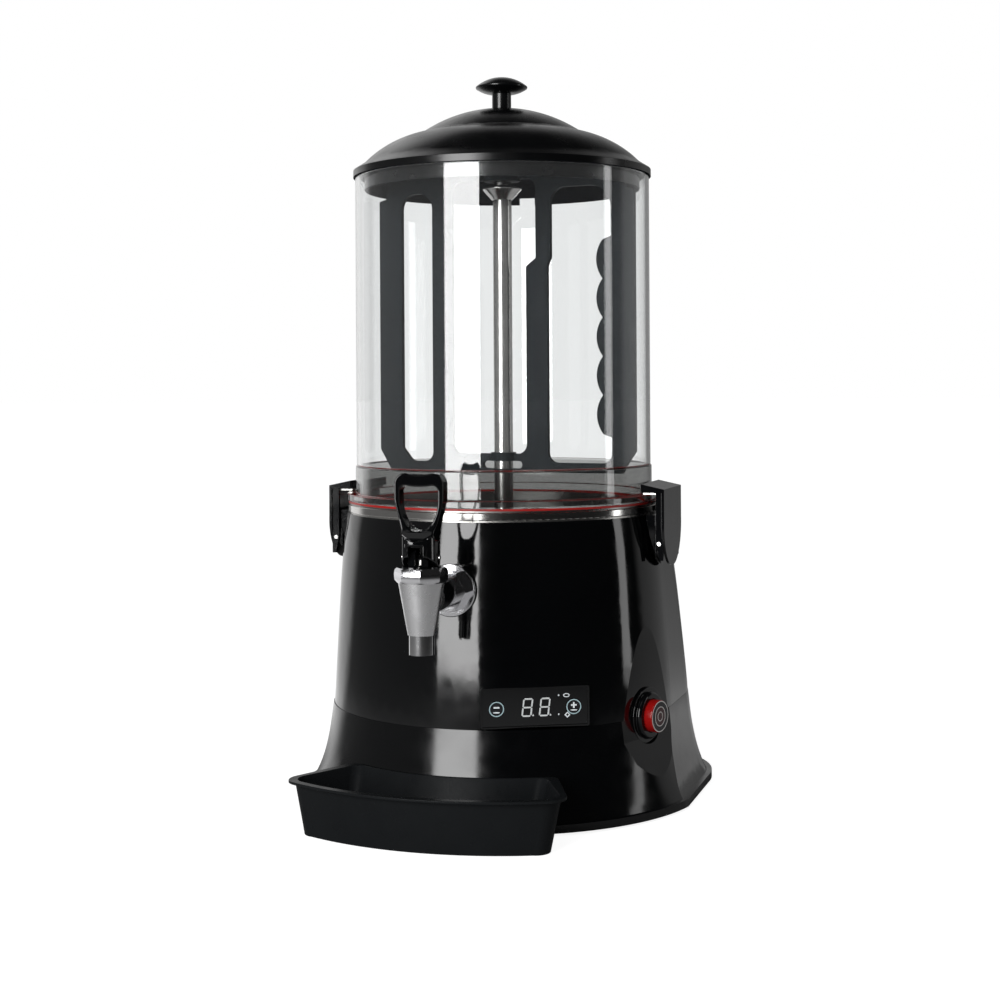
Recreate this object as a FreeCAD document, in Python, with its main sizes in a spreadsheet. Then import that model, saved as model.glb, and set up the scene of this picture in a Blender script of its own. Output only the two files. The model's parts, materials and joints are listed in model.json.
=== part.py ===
import FreeCAD, Part
import math
import os

import Sketcher
from FreeCAD import Placement, Rotation, Vector

# Hot chocolate dispenser: a clear ten litre jar on a heated bowl, a slowly turning paddle,
# a lever tap at the front and a drip tray.  All lengths are in millimetres and angles in degrees.
#
# The jar's axis is the construction axis.  Azimuths are counted from the front (-Y) towards
# the machine's right (+X).  Heights are counted from the surface that the machine stands on.
# The row's origin is the middle of the footprint, so everything is moved back by axis_back.

SIZES = {
    # base and feet
    "foot_height": 2.0,
    "foot_radius": 13.0,
    "foot_neck_radius": 4.0,
    "foot_side_inset": 46.5,
    "foot_front_inset": 74.0,
    "foot_back_inset": 44.5,
    "base_floor": 3.0,
    "base_edge": 6.0,
    "base_edge_wall": 4.0,
    "base_front_edge": 4.0,
    "base_side_edge": 4.3,
    "base_rear_edge": 3.5,
    "base_corner": 98.0,
    # lower skirt: its size at the seam, and how much it grows from each section to the one below
    "skirt_wall": 2.6,
    "skirt_corner": 80.0,
    "skirt_corner_flare": 3.0,
    "skirt_level_2": 13.0,
    "skirt_level_3": 24.0,
    "skirt_level_4": 40.0,
    "skirt_level_5": 57.0,
    "seam_radius": 139.3,
    "seam_half_width": 138.7,
    "seam_rear": 138.5,
    "front_flare_5": 2.3,
    "front_flare_4": 3.2,
    "front_flare_3": 4.8,
    "front_flare_2": 5.2,
    "front_flare_1": 3.2,
    "side_flare_5": 2.0,
    "side_flare_4": 2.7,
    "side_flare_3": 3.9,
    "side_flare_2": 4.1,
    "side_flare_1": 2.8,
    "rear_flare_5": 2.0,
    "rear_flare_4": 2.7,
    "rear_flare_3": 3.3,
    "rear_flare_2": 2.7,
    "rear_flare_1": 1.8,
    # upper shell
    "seam_level": 73.4,
    "shell_top": 226.0,
    "shell_wall": 3.0,
    "shell_level_2": 115.0,
    "shell_level_3": 160.0,
    "shell_level_4": 200.0,
    "shell_top_radius": 127.0,
    "shell_top_rear": 127.8,
    "seam_step_front": 0.7,
    "seam_step_side": 0.1,
    "seam_step_rear": 0.5,
    "shell_share_2": 0.793,
    "shell_share_3": 0.57,
    "shell_share_4": 0.31,
    "shell_rear_share_2": 0.725,
    "shell_rear_share_3": 0.396,
    "shell_rear_share_4": 0.165,
    "shell_corner_1": 80.0,
    "shell_corner_2": 84.0,
    "shell_corner_3": 92.0,
    "shell_corner_4": 104.0,
    "shell_corner_5": 119.0,
    "tongue_depth": 6.0,
    "tongue_wall": 2.0,
    "tongue_gap": 0.2,
    # flat for the power switch, which fades out down the skirt
    "facet_azimuth": 71.3,
    "facet_inset": 4.0,
    "facet_flare_mid": 2.3,
    "facet_flare_low": 7.7,
    "facet_flare_foot": 16.3,
    # bath, bowl, seals and jar
    "tank_radius": 121.0,
    "tank_wall": 1.2,
    "tank_floor_level": 118.0,
    "tank_flange_radius": 126.0,
    "band_height": 6.0,
    "band_radius": 126.9,
    "band_bore": 121.4,
    "bowl_wall": 1.2,
    "bowl_radius": 113.0,
    "bowl_rim_radius": 125.8,
    "bowl_floor_level": 162.0,
    "bowl_corner": 24.0,
    "gasket_height": 1.8,
    "gasket_radius": 126.4,
    "gasket_bore": 115.4,
    "jar_radius": 119.8,
    "jar_wall": 3.2,
    "jar_top": 497.0,
    "jar_flange_radius": 127.5,
    "jar_flange_height": 5.7,
    "jar_collar_height": 27.0,
    "jar_collar_wall": 4.6,
    "jar_collar_step": 0.9,
    # centre tube and drive
    "tube_radius": 7.75,
    "tube_bore": 5.2,
    "tube_top": 494.0,
    "tube_bottom": 110.0,
    "tube_flange_radius": 17.0,
    "tube_flange_height": 2.0,
    "tube_nut_radius": 14.0,
    "tube_nut_height": 6.5,
    "collar_low": 479.5,
    "collar_high": 488.0,
    "collar_edge": 1.6,
    "collar_radius": 16.0,
    "shaft_radius": 4.0,
    "shaft_running_gap": 0.06,
    "shaft_top": 512.0,
    "shaft_joint_level": 103.0,
    "bush_length": 11.0,
    "coupling_radius": 8.5,
    "coupling_length": 12.0,
    "bracket_top": 96.0,
    "bracket_plate": 2.0,
    "bracket_radius": 56.0,
    "bracket_bore": 12.0,
    "post_radius": 4.5,
    "post_circle": 46.0,
    "gearbox_radius": 32.0,
    "gearbox_height": 34.0,
    "motor_radius": 26.0,
    "motor_height": 44.0,
    "gearbox_shaft_length": 22.0,
    # heater and sensors
    "element_circle": 70.0,
    "element_radius": 4.0,
    "element_level": 138.0,
    "element_leg_radius": 5.2,
    "element_leg_offset": 12.0,
    "element_leg_bottom": 106.0,
    "thermostat_radius": 9.0,
    "thermostat_height": 10.0,
    "thermostat_x": 60.0,
    "thermostat_y": 30.0,
    "probe_radius": 3.0,
    "probe_x": 50.0,
    "probe_y": 33.0,
    "probe_top": 152.0,
    "probe_bottom": 102.0,
    "probe_gland_radius": 7.0,
    "probe_gland_height": 6.0,
    # electrics in the base
    "terminal_x": 80.0,
    "terminal_y": 70.0,
    "terminal_length": 52.0,
    "terminal_width": 28.0,
    "terminal_height": 22.0,
    "inlet_level": 42.0,
    "inlet_flange_half_width": 22.0,
    "inlet_flange_half_height": 13.0,
    "inlet_proud": 9.9,
    "inlet_half_width": 15.0,
    "inlet_half_height": 11.0,
    "inlet_depth": 30.0,
    "inlet_socket_depth": 18.0,
    "inlet_socket_wall": 2.6,
    "inlet_pin_radius": 1.8,
    "inlet_pin_reach": 11.0,
    "inlet_pin_spread": 7.0,
    # display panel
    "display_azimuth": 27.0,
    "display_level": 89.2,
    "display_inset": 7.0,
    "display_depth": 3.3,
    "display_boss_depth": 3.5,
    "display_half_width": 41.25,
    "display_half_height": 15.25,
    "display_frame": 1.5,
    "display_frame_proud": 0.9,
    "display_boss_margin": 4.0,
    "button_radius": 5.65,
    "button_gap": 0.3,
    "button_spread": 29.2,
    "button_drop": 0.5,
    "button_proud": 1.0,
    "button_stem_radius": 2.0,
    "button_cap_depth": 5.7,
    "button_stem_length": 4.7,
    "button_travel": 0.5,
    "led_half_width": 16.0,
    "led_half_height": 8.5,
    "board_depth": 24.3,
    "board_thickness": 1.6,
    "board_half_width": 42.0,
    "board_half_height": 17.0,
    "board_post_radius": 3.0,
    "post_half_width": 37.0,
    "post_half_height": 12.0,
    "key_switch_radius": 3.0,
    # power switch
    "switch_level": 73.2,
    "switch_flange_radius": 21.5,
    "switch_flange_height": 2.0,
    "switch_collar_radius": 18.0,
    "switch_collar_height": 3.8,
    "switch_collar_bevel": 1.5,
    "switch_barrel_radius": 14.0,
    "switch_barrel_depth": 22.0,
    "switch_bore_depth": 11.0,
    "switch_nut_radius": 18.5,
    "switch_nut_height": 6.0,
    "power_button_radius": 12.5,
    "power_button_proud": 6.8,
    "power_button_dome": 1.2,
    "power_button_travel": 2.5,
    # tap
    "tap_level": 176.0,
    "tap_reach": 198.0,
    "flange_radius": 19.75,
    "flange_proud": 2.6,
    "tap_nut_half_width": 14.0,
    "tap_nut_height": 10.6,
    "shank_radius": 10.0,
    "shank_bore": 6.0,
    "shank_inner_end": 101.0,
    "shank_outer_end": 158.0,
    "spigot_radius": 13.5,
    "spigot_end": 118.7,
    "locknut_half_width": 14.5,
    "locknut_height": 5.5,
    "spout_bottom": 138.0,
    "spout_radius": 9.0,
    "spout_bore": 6.5,
    "spout_top": 152.0,
    "cone_low_radius": 9.9,
    "cone_top": 189.4,
    "cone_radius": 16.6,
    "chamber_radius": 10.0,
    "chamber_floor": 166.0,
    "neck_radius": 11.5,
    "bonnet_half_width": 17.8,
    "bonnet_top": 200.0,
    "bonnet_bore": 13.7,
    "bonnet_bevel": 2.6,
    "cap_radius": 13.5,
    "cap_plug_radius": 9.7,
    "cap_plug_depth": 4.5,
    "cap_tongue_half_width": 7.6,
    "pivot_level": 207.0,
    "pivot_radius": 1.6,
    "pivot_round": 6.5,
    "lever_swing": 35.0,
    "lever_foot_depth": 6.0,
    "lever_block_radius": 13.5,
    "lever_block_top": 219.0,
    "lever_cavity_half_width": 8.0,
    "lever_cavity_front": 9.4,
    "lever_slot_half_width": 5.3,
    "lever_slot_top": 215.3,
    "lever_thickness": 11.5,
    "lever_flare_top": 236.0,
    "loop_foot_half_width": 12.2,
    "loop_waist_level": 225.5,
    "loop_shoulder_level": 248.0,
    "loop_top": 266.8,
    "loop_half_width": 18.4,
    "loop_corner": 8.0,
    "loop_dip": 1.4,
    "loop_hole_half_width": 14.5,
    "loop_hole_low": 225.5,
    "loop_hole_top": 258.0,
    "stem_radius": 2.4,
    "stem_top": 205.0,
    "cup_height": 5.6,
    "cup_radius": 8.6,
    "cup_gap": 0.3,
    "spring_coil_radius": 6.2,
    "spring_wire_radius": 0.6,
    "spring_turns": 5.0,
    # side latches
    "latch_pivot_x": 135.6,
    "latch_pivot_level": 204.0,
    "latch_pin_radius": 1.5,
    "latch_half_width": 33.0,
    "latch_outside": 140.5,
    "latch_plate": 2.0,
    "latch_lip": 122.0,
    "latch_lip_thickness": 6.8,
    "latch_slope": 4.0,
    "latch_web_outside": 30.0,
    "latch_web_thickness": 3.0,
    "latch_web_inside_x": 133.2,
    "latch_web_low": 191.0,
    "latch_low": 185.0,
    "latch_taper_level": 222.0,
    "hook_thickness": 1.6,
    "latch_base_face": 132.8,
    "latch_base_half_width": 26.4,
    "latch_ear_thickness": 4.4,
    "latch_ear_reach": 2.6,
    "latch_screw_radius": 1.8,
    "latch_screw_head_radius": 3.4,
    "latch_screw_head": 1.8,
    "latch_screw_spread": 12.0,
    "latch_screw_level": 214.0,
    "latch_screw_end": 123.0,
    # lid
    "lid_rim_radius": 121.4,
    "lid_rim_height": 5.4,
    "lid_shoulder_radius": 113.0,
    "lid_shoulder_level": 508.0,
    "lid_step_radius": 67.3,
    "lid_step_level": 532.6,
    "lid_crown_level": 554.0,
    "lid_wall": 2.5,
    "lid_skirt_radius": 112.2,
    "lid_skirt_level": 486.5,
    "lid_vent_half_width": 7.0,
    "lid_vent_height": 6.0,
    "lid_vent_offset": 11.0,
    "knob_top": 580.0,
    "knob_radius": 21.0,
    "knob_edge_level": 571.3,
    "knob_edge_height": 2.0,
    "knob_under_level": 566.4,
    "knob_stem_radius": 7.8,
    "knob_screw_radius": 2.0,
    "knob_screw_head_radius": 5.0,
    "knob_screw_head": 3.0,
    "knob_screw_length": 20.0,
    # paddle
    "paddle_turn": 6.0,
    "paddle_thickness": 5.0,
    "paddle_half_width": 113.0,
    "paddle_top_half_width": 106.0,
    "paddle_shoulder_level": 483.0,
    "paddle_low": 257.6,
    "paddle_high": 508.0,
    "paddle_chamfer": 11.0,
    "window_low": 265.5,
    "window_high": 488.0,
    "window_round": 8.0,
    "left_window_outside": 91.5,
    "left_window_inside": 62.8,
    "centre_window_left": 44.5,
    "centre_window_right": 21.6,
    "centre_window_low": 272.5,
    "centre_window_high": 496.0,
    "step_low": 424.5,
    "step_high": 431.5,
    "step_offset": 8.4,
    "right_window_inside": 40.0,
    "right_window_offset": 2.8,
    "right_window_outside": 94.3,
    "scallop_first": 304.5,
    "scallop_pitch": 31.0,
    "scallop_valley": 87.2,
    "scallop_peak": 82.0,
    "guide_radius": 10.4,
    "guide_running_gap": 0.1,
    "guide_slot_half_width": 17.5,
    "guide_slot_low": 260.4,
    "guide_slot_high": 266.6,
    "hub_radius": 15.0,
    "hub_low": 494.6,
    "hub_high": 516.0,
    "hub_cap_radius": 10.0,
    "hub_cap_height": 4.0,
    "hub_fit": 0.05,
    # drip tray
    "tray_level": 0.4,
    "tray_turn": 1.2,
    "tray_height": 39.8,
    "tray_wall": 2.2,
    "tray_floor": 2.5,
    "tray_lip": 4.0,
    "tray_lip_thickness": 2.0,
    "tray_reach": 54.0,
    "tray_front_draft": 5.0,
    "tray_back_inset": 16.1,
    "tray_back_draft": 20.8,
    "tray_front_half_width": 106.5,
    "tray_back_half_width": 77.0,
    "tray_side_draft": 8.0,
    "tray_front_corner": 14.0,
    "tray_front_share": 0.2,
    "tray_back_corner": 7.0,
    "tray_back_share": 0.12,
    # fasteners and general fits
    "base_screw_radius": 1.9,
    "base_screw_head_radius": 3.6,
    "base_screw_head": 1.4,
    "base_screw_length": 20.0,
    "boss_radius": 5.0,
    "boss_height": 24.0,
    "boss_side_flare": 3.3,
    "boss_side_y": 24.0,
    "boss_rear_x": 58.0,
    "boss_rear_flare": 2.0,
    "slip_fit": 0.05,
    "part_gap": 0.3,
}

LATCH_SIDES = {"left": -1, "right": 1}
SCALLOPS = 5
BRACKET_POSTS = 4

doc = FreeCAD.newDocument("hot_chocolate_dispenser")
sheet = doc.addObject("Spreadsheet::Sheet", "Sizes")
NODES = []


class Size:
    """A length or angle: its value now, and the expression that gives it from the sheet."""

    def __init__(self, value, text):
        self.value = float(value)
        self.text = text

    def __add__(self, other):
        other = as_size(other)
        return Size(self.value + other.value, f"({self.text} + {other.text})")

    def __radd__(self, other):
        return as_size(other) + self

    def __sub__(self, other):
        other = as_size(other)
        return Size(self.value - other.value, f"({self.text} - {other.text})")

    def __rsub__(self, other):
        return as_size(other) - self

    def __mul__(self, other):
        other = as_size(other)
        return Size(self.value * other.value, f"({self.text} * {other.text})")

    def __rmul__(self, other):
        return as_size(other) * self

    def __truediv__(self, other):
        other = as_size(other)
        return Size(self.value / other.value, f"({self.text} / {other.text})")

    def __neg__(self):
        return Size(-self.value, f"(0 - {self.text})")


def as_size(value):
    """Turn a plain number into a Size."""
    if isinstance(value, Size):
        return value
    return Size(value, repr(float(value)))


def square_root(value):
    """The square root of a Size."""
    return Size(math.sqrt(value.value), f"sqrt({value.text})")


def chord(radius, offset):
    """Half the chord of a circle at an offset from its centre."""
    return square_root(radius * radius - offset * offset)


def sine(angle):
    """The sine of an angle in degrees."""
    return Size(math.sin(math.radians(angle.value)), f"sin({angle.text})")


def cosine(angle):
    """The cosine of an angle in degrees."""
    return Size(math.cos(math.radians(angle.value)), f"cos({angle.text})")


class Sheet:
    """The cells of the sheet, each readable by its name as a Size."""

    def __init__(self, cells):
        for row, (name, value) in enumerate(cells.items(), start=1):
            sheet.set(f"A{row}", name)
            sheet.set(f"B{row}", str(value))
            sheet.setAlias(f"B{row}", name)
            setattr(self, name, Size(value, f"Sizes.{name}"))


z = Sheet(SIZES)
doc.recompute()

# ----------------------------------------------------------------------------- derived levels

def grown(size, *flares):
    """A size and what it grows to by each flare in turn, largest first."""
    sizes = [size]
    for flare in flares:
        sizes.append(sizes[-1] + flare)
    return sizes[::-1]


def shell_sizes(top, seam, *shares):
    """A size of the shell at the seam, at three levels between, and at its top."""
    return [seam] + [top + (seam - top) * share for share in shares] + [top]


SKIRT_RADII = grown(z.seam_radius, z.front_flare_5, z.front_flare_4, z.front_flare_3, z.front_flare_2,
                    z.front_flare_1)
SKIRT_HALF_WIDTHS = grown(z.seam_half_width, z.side_flare_5, z.side_flare_4, z.side_flare_3, z.side_flare_2,
                          z.side_flare_1)
SKIRT_REARS = grown(z.seam_rear, z.rear_flare_5, z.rear_flare_4, z.rear_flare_3, z.rear_flare_2,
                    z.rear_flare_1)
SKIRT_CORNERS = grown(z.skirt_corner, *[z.skirt_corner_flare] * 5)
BASE_RADIUS = SKIRT_RADII[0] + z.base_front_edge
BASE_HALF_WIDTH = SKIRT_HALF_WIDTHS[0] + z.base_side_edge
BASE_REAR = SKIRT_REARS[0] + z.base_rear_edge
SHELL_SHARES = (z.shell_share_2, z.shell_share_3, z.shell_share_4)
SHELL_RADII = shell_sizes(z.shell_top_radius, z.seam_radius - z.seam_step_front, *SHELL_SHARES)
SHELL_HALF_WIDTHS = shell_sizes(z.shell_top_radius, z.seam_half_width - z.seam_step_side, *SHELL_SHARES)
SHELL_REARS = shell_sizes(z.shell_top_rear, z.seam_rear - z.seam_step_rear,
                          z.shell_rear_share_2, z.shell_rear_share_3, z.shell_rear_share_4)
SHELL_CORNERS = [z.shell_corner_1, z.shell_corner_2, z.shell_corner_3, z.shell_corner_4, z.shell_corner_5]
FACET = z.seam_half_width - z.facet_inset
DISPLAY_FACE = z.seam_radius - z.display_inset
DISPLAY_FLOOR = DISPLAY_FACE - z.display_depth
DISPLAY_BOSS_BACK = DISPLAY_FLOOR - z.display_boss_depth
BOARD_BACK = DISPLAY_FACE - z.board_depth
FLANGE_FACE = SHELL_RADII[2] + z.flange_proud
TAP_NUT_END = FLANGE_FACE + z.tap_nut_height
INLET_FACE = z.seam_rear + z.inlet_proud
TRAY_FRONT = BASE_RADIUS + z.tray_reach
TRAY_BACK = BASE_RADIUS - z.tray_back_inset

AXIS_BACK = (TRAY_FRONT + z.tray_lip - BASE_REAR) / 2
BASE_LOW = z.foot_height
SKIRT_LOW = BASE_LOW + z.base_edge
BAND_LOW = z.shell_top + z.tank_wall
BAND_HIGH = BAND_LOW + z.band_height
GASKET_LOW = BAND_HIGH + z.bowl_wall
JAR_LOW = GASKET_LOW + z.gasket_height
FLANGE_TOP = JAR_LOW + z.jar_flange_height
SHELL_LEVELS = [z.seam_level, z.shell_level_2, z.shell_level_3, z.shell_level_4, z.shell_top]
SKIRT_LEVELS = [SKIRT_LOW, z.skirt_level_2, z.skirt_level_3, z.skirt_level_4, z.skirt_level_5, z.seam_level]


# ------------------------------------------------------------------------------ drawing tools

def place(thing, x=0.0, y=0.0, level=0.0, rotation=None):
    """Put an object at a place given from the jar's axis, bound to the sheet."""
    thing.Placement = Placement(Vector(0, 0, 0), rotation or Rotation())
    for name, value in (("x", as_size(x)), ("y", AXIS_BACK + y), ("z", as_size(level))):
        thing.setExpression(f"Placement.Base.{name}", value.text)
        setattr(thing.Placement.Base, name, value.value)
    return thing


def facing(azimuth):
    """Rotation that points local Z outwards at an azimuth, local X to its right and Y up."""
    return Rotation(Vector(0, 0, 1), azimuth.value) * Rotation(Vector(1, 0, 0), 90)


def new_body(label, x=0.0, y=0.0, level=0.0, rotation=None):
    """A PartDesign body at its place."""
    body = doc.addObject("PartDesign::Body", label)
    body.Label = label
    body.AllowCompound = True
    return place(body, x, y, level, rotation)


def node(thing):
    """Keep an object as one of the machine's separate pieces."""
    NODES.append(thing)
    return thing


def sketch_on(body, plane, shift=0.0):
    """A sketch on one of the body's own origin planes, moved along the plane's normal."""
    support = [face for face in body.Origin.OriginFeatures if face.Role == plane][0]
    sketch = body.newObject("Sketcher::SketchObject", body.Name + "_sketch")
    sketch.AttachmentSupport = (support, [""])
    sketch.MapMode = "FlatFace"
    shift = as_size(shift)
    sketch.AttachmentOffset = Placement(Vector(0, 0, shift.value), Rotation())
    sketch.setExpression("AttachmentOffset.Base.z", shift.text)
    return sketch


def pin_point(sketch, geometry, position, point):
    """Fix a sketch point's two coordinates to their expressions."""
    for kind, value in zip(("DistanceX", "DistanceY"), point):
        value = as_size(value)
        index = sketch.addConstraint(Sketcher.Constraint(kind, geometry, position, value.value))
        sketch.setExpression(f"Constraints[{index}]", value.text)


def vector(point):
    """The present place of a sketch point."""
    return Vector(as_size(point[0]).value, as_size(point[1]).value, 0)


def draw(sketch, corners):
    """A closed outline.  A corner with four numbers is reached by an arc through its last two."""
    ends = []
    for index, corner in enumerate(corners):
        start, end = vector(corners[index - 1]), vector(corner)
        if len(corner) == 2:
            edge = sketch.addGeometry(Part.LineSegment(start, end), False)
        else:
            edge = sketch.addGeometry(Part.Arc(start, vector(corner[2:]), end), False)
            via = sketch.addGeometry(Part.Point(vector(corner[2:])), True)
            pin_point(sketch, via, 1, corner[2:])
            sketch.addConstraint(Sketcher.Constraint("PointOnObject", via, 1, edge))
        forward = (sketch.getPoint(edge, 1) - start).Length < (sketch.getPoint(edge, 2) - start).Length
        ends.append((edge, 1, 2) if forward else (edge, 2, 1))
    for index, corner in enumerate(corners):
        edge, first, last = ends[index]
        follower = ends[(index + 1) % len(ends)]
        sketch.addConstraint(Sketcher.Constraint("Coincident", edge, last, follower[0], follower[1]))
        pin_point(sketch, edge, last, corner[:2])
    return sketch


def draw_circle(sketch, radius, x=0.0, y=0.0):
    """A circle with its centre and radius bound."""
    centre = vector((x, y))
    edge = sketch.addGeometry(Part.Circle(centre, Vector(0, 0, 1), as_size(radius).value), False)
    pin_point(sketch, edge, 3, (x, y))
    index = sketch.addConstraint(Sketcher.Constraint("Radius", edge, as_size(radius).value))
    sketch.setExpression(f"Constraints[{index}]", as_size(radius).text)
    return sketch


def rectangle(x_low, x_high, y_low, y_high):
    """The corners of a rectangle."""
    return [(x_low, y_low), (x_high, y_low), (x_high, y_high), (x_low, y_high)]


def hexagon(half_width):
    """The corners of a hexagon across whose flats the distance is twice half_width."""
    corner = half_width / math.cos(math.radians(30))
    turns = [math.radians(60 * index) for index in range(6)]
    return [(corner * math.cos(turn), corner * math.sin(turn)) for turn in turns]


def raise_profile(body, sketch, length, cut=False, midplane=False):
    """Pad or pocket a sketch along its normal."""
    kind = "PartDesign::Pocket" if cut else "PartDesign::Pad"
    feature = body.newObject(kind, body.Name + ("_pocket" if cut else "_pad"))
    feature.Profile = sketch
    length = as_size(length)
    feature.Length = length.value
    feature.setExpression("Length", length.text)
    feature.Midplane = midplane
    feature.Reversed = cut and not midplane
    body.Tip = feature
    return feature


def prism(body, corners, low, high, cut=False, plane="XY_Plane"):
    """Pad or pocket an outline between two distances from a plane."""
    sketch = draw(sketch_on(body, plane, low), corners)
    return raise_profile(body, sketch, as_size(high) - low, cut)


def disc(body, radius, low, high, x=0.0, y=0.0, cut=False, plane="XY_Plane"):
    """Pad or pocket a circle between two distances from a plane."""
    return discs(body, radius, low, high, [(x, y)], cut, plane)


def discs(body, radius, low, high, centres, cut=False, plane="XY_Plane"):
    """Pad or pocket equal circles between two distances from a plane."""
    sketch = sketch_on(body, plane, low)
    for x, y in centres:
        draw_circle(sketch, radius, x, y)
    return raise_profile(body, sketch, as_size(high) - low, cut)


def plate(body, outlines, thickness, plane="XZ_Plane", cut=False, shift=0.0):
    """Pad or pocket outlines by half the thickness to each side of a plane."""
    sketch = sketch_on(body, plane, shift)
    for corners in outlines:
        draw(sketch, corners)
    return raise_profile(body, sketch, thickness, cut, True)


def turned(body, corners, cut=False):
    """Revolve an outline given as (radius, level) pairs about the body's vertical axis."""
    sketch = draw(sketch_on(body, "XZ_Plane"), corners)
    kind = "PartDesign::Groove" if cut else "PartDesign::Revolution"
    feature = body.newObject(kind, body.Name + ("_groove" if cut else "_turned"))
    feature.Profile = sketch
    feature.ReferenceAxis = (sketch, ["V_Axis"])
    feature.Angle = 360
    body.Tip = feature
    return feature


def ring(body, bore, radius, low, high):
    """Revolve a plain ring."""
    return turned(body, [(bore, low), (radius, low), (radius, high), (bore, high)])


def lofted(body, sections, cut=False, ruled=False):
    """Loft through a list of (level, corners) sections."""
    sketches = [draw(sketch_on(body, "XY_Plane", level), corners) for level, corners in sections]
    kind = "PartDesign::SubtractiveLoft" if cut else "PartDesign::AdditiveLoft"
    feature = body.newObject(kind, body.Name + "_loft")
    feature.Profile = sketches[0]
    feature.Sections = sketches[1:]
    feature.Ruled = ruled
    body.Tip = feature
    return feature


def picked_edges(body, wanted):
    """The tip and the names of its edges for which wanted(edge) holds."""
    doc.recompute()
    tip = body.Tip
    names = [f"Edge{index}" for index, edge in enumerate(tip.Shape.Edges, start=1) if wanted(edge)]
    return tip, names


def rounded(body, radius, wanted):
    """Fillet the edges for which wanted(edge) holds."""
    tip, names = picked_edges(body, wanted)
    feature = body.newObject("PartDesign::Fillet", body.Name + "_fillet")
    feature.Base = (tip, names)
    feature.Radius = as_size(radius).value
    feature.setExpression("Radius", as_size(radius).text)
    body.Tip = feature
    return feature


def bevelled(body, size, wanted):
    """Chamfer the edges for which wanted(edge) holds."""
    tip, names = picked_edges(body, wanted)
    feature = body.newObject("PartDesign::Chamfer", body.Name + "_chamfer")
    feature.Base = (tip, names)
    feature.Size = as_size(size).value
    feature.setExpression("Size", as_size(size).text)
    body.Tip = feature
    return feature


def runs_along(edge, direction):
    """True for a straight edge parallel to a direction."""
    if len(edge.Vertexes) < 2 or not isinstance(edge.Curve, Part.Line):
        return False
    return edge.Curve.Direction.cross(direction).Length < 1e-6


def is_rim(edge, radius):
    """True for a level round edge of this radius."""
    return abs(edge.BoundBox.XMax - radius) < 0.01 and edge.BoundBox.ZLength < 0.01


def fused(label, parts):
    """Join solids into one object."""
    thing = doc.addObject("Part::MultiFuse", label)
    thing.Shapes = parts
    thing.Label = label
    return thing


def cut_from(label, base, tools):
    """Cut one or more tools from a base."""
    tool = tools[0] if len(tools) == 1 else fused(label + "_tools", tools)
    thing = doc.addObject("Part::Cut", label)
    thing.Base = base
    thing.Tool = tool
    thing.Label = label
    return thing


# ------------------------------------------------------------------------- base, skirt, shell

def arch(radius, half_width, rear, corner, inset=0.0):
    """Plan outline: a round front about the jar's axis, straight sides and a rounded rear."""
    radius, half_width, rear, corner = radius - inset, half_width - inset, rear - inset, corner - inset
    front = -chord(radius, half_width) if half_width.value < radius.value - 0.01 else as_size(0.0)
    bend = corner * (1 - math.sqrt(0.5))
    side, back = rear - corner, half_width - corner
    return [
        (-half_width, front),
        (half_width, front, 0.0, -radius),
        (half_width, side),
        (back, rear, half_width - bend, rear - bend),
        (-back, rear),
        (-half_width, side, bend - half_width, rear - bend),
    ]


def shell_form(label, inset):
    """The upper shell's outer form, or its hollow when inset by the wall."""
    body = new_body(label)
    sections = zip(SHELL_LEVELS, SHELL_RADII, SHELL_HALF_WIDTHS, SHELL_REARS, SHELL_CORNERS)
    lofted(body, [(level, arch(radius, width, rear, corner, inset))
                  for level, radius, width, rear, corner in sections])
    return body


def skirt_form(label, inset):
    """The lower skirt's outer form, or its hollow when inset by the wall."""
    body = new_body(label)
    sections = zip(SKIRT_LEVELS, SKIRT_RADII, SKIRT_HALF_WIDTHS, SKIRT_REARS, SKIRT_CORNERS)
    lofted(body, [(level, arch(radius, width, rear, corner, inset))
                  for level, radius, width, rear, corner in sections])
    return body


def facet_form(label, inset):
    """What is cut away to leave the flat behind the power switch."""
    reach, top = SKIRT_RADII[0] + 40, z.shell_top + 5
    body = new_body(label, rotation=Rotation(Vector(0, 0, 1), z.facet_azimuth.value - 90))
    profile = [
        (FACET - inset, z.seam_level),
        (FACET - inset, top),
        (reach, top),
        (reach, z.skirt_level_3 - 6),
        (FACET + z.facet_flare_foot - inset, z.skirt_level_3 - 2),
        (FACET + z.facet_flare_low - inset, z.skirt_level_4),
        (FACET + z.facet_flare_mid - inset, z.skirt_level_5),
    ]
    plate(body, [profile], 150)
    return body


def switch_hole(label, radius, low, high):
    """A round hole along the power switch's axis."""
    body = new_body(label, level=z.switch_level, rotation=facing(z.facet_azimuth))
    disc(body, radius, low, high)
    return body


def base_plate():
    body = new_body("base_plate")
    outline = arch(BASE_RADIUS, BASE_HALF_WIDTH, BASE_REAR, z.base_corner)
    prism(body, outline, BASE_LOW, SKIRT_LOW)
    inside = arch(BASE_RADIUS, BASE_HALF_WIDTH, BASE_REAR, z.base_corner, z.base_edge_wall + 8)
    prism(body, inside, BASE_LOW + z.base_floor, SKIRT_LOW, cut=True)
    discs(body, z.foot_neck_radius, BASE_LOW, BASE_LOW + z.base_floor, foot_places(), cut=True)
    head_radius, head_top = z.base_screw_head_radius + z.slip_fit, BASE_LOW + z.base_screw_head
    discs(body, head_radius, BASE_LOW, head_top, boss_places(), cut=True)
    discs(body, z.base_screw_radius + z.slip_fit, BASE_LOW, SKIRT_LOW, boss_places(), cut=True)
    return node(body)


def foot_places():
    """Centres of the four feet."""
    x = BASE_HALF_WIDTH - z.foot_side_inset
    front, back = BASE_RADIUS - z.foot_front_inset, BASE_REAR - z.foot_back_inset
    return [(side * x, y) for side in (-1, 1) for y in (-front, back)]


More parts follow.
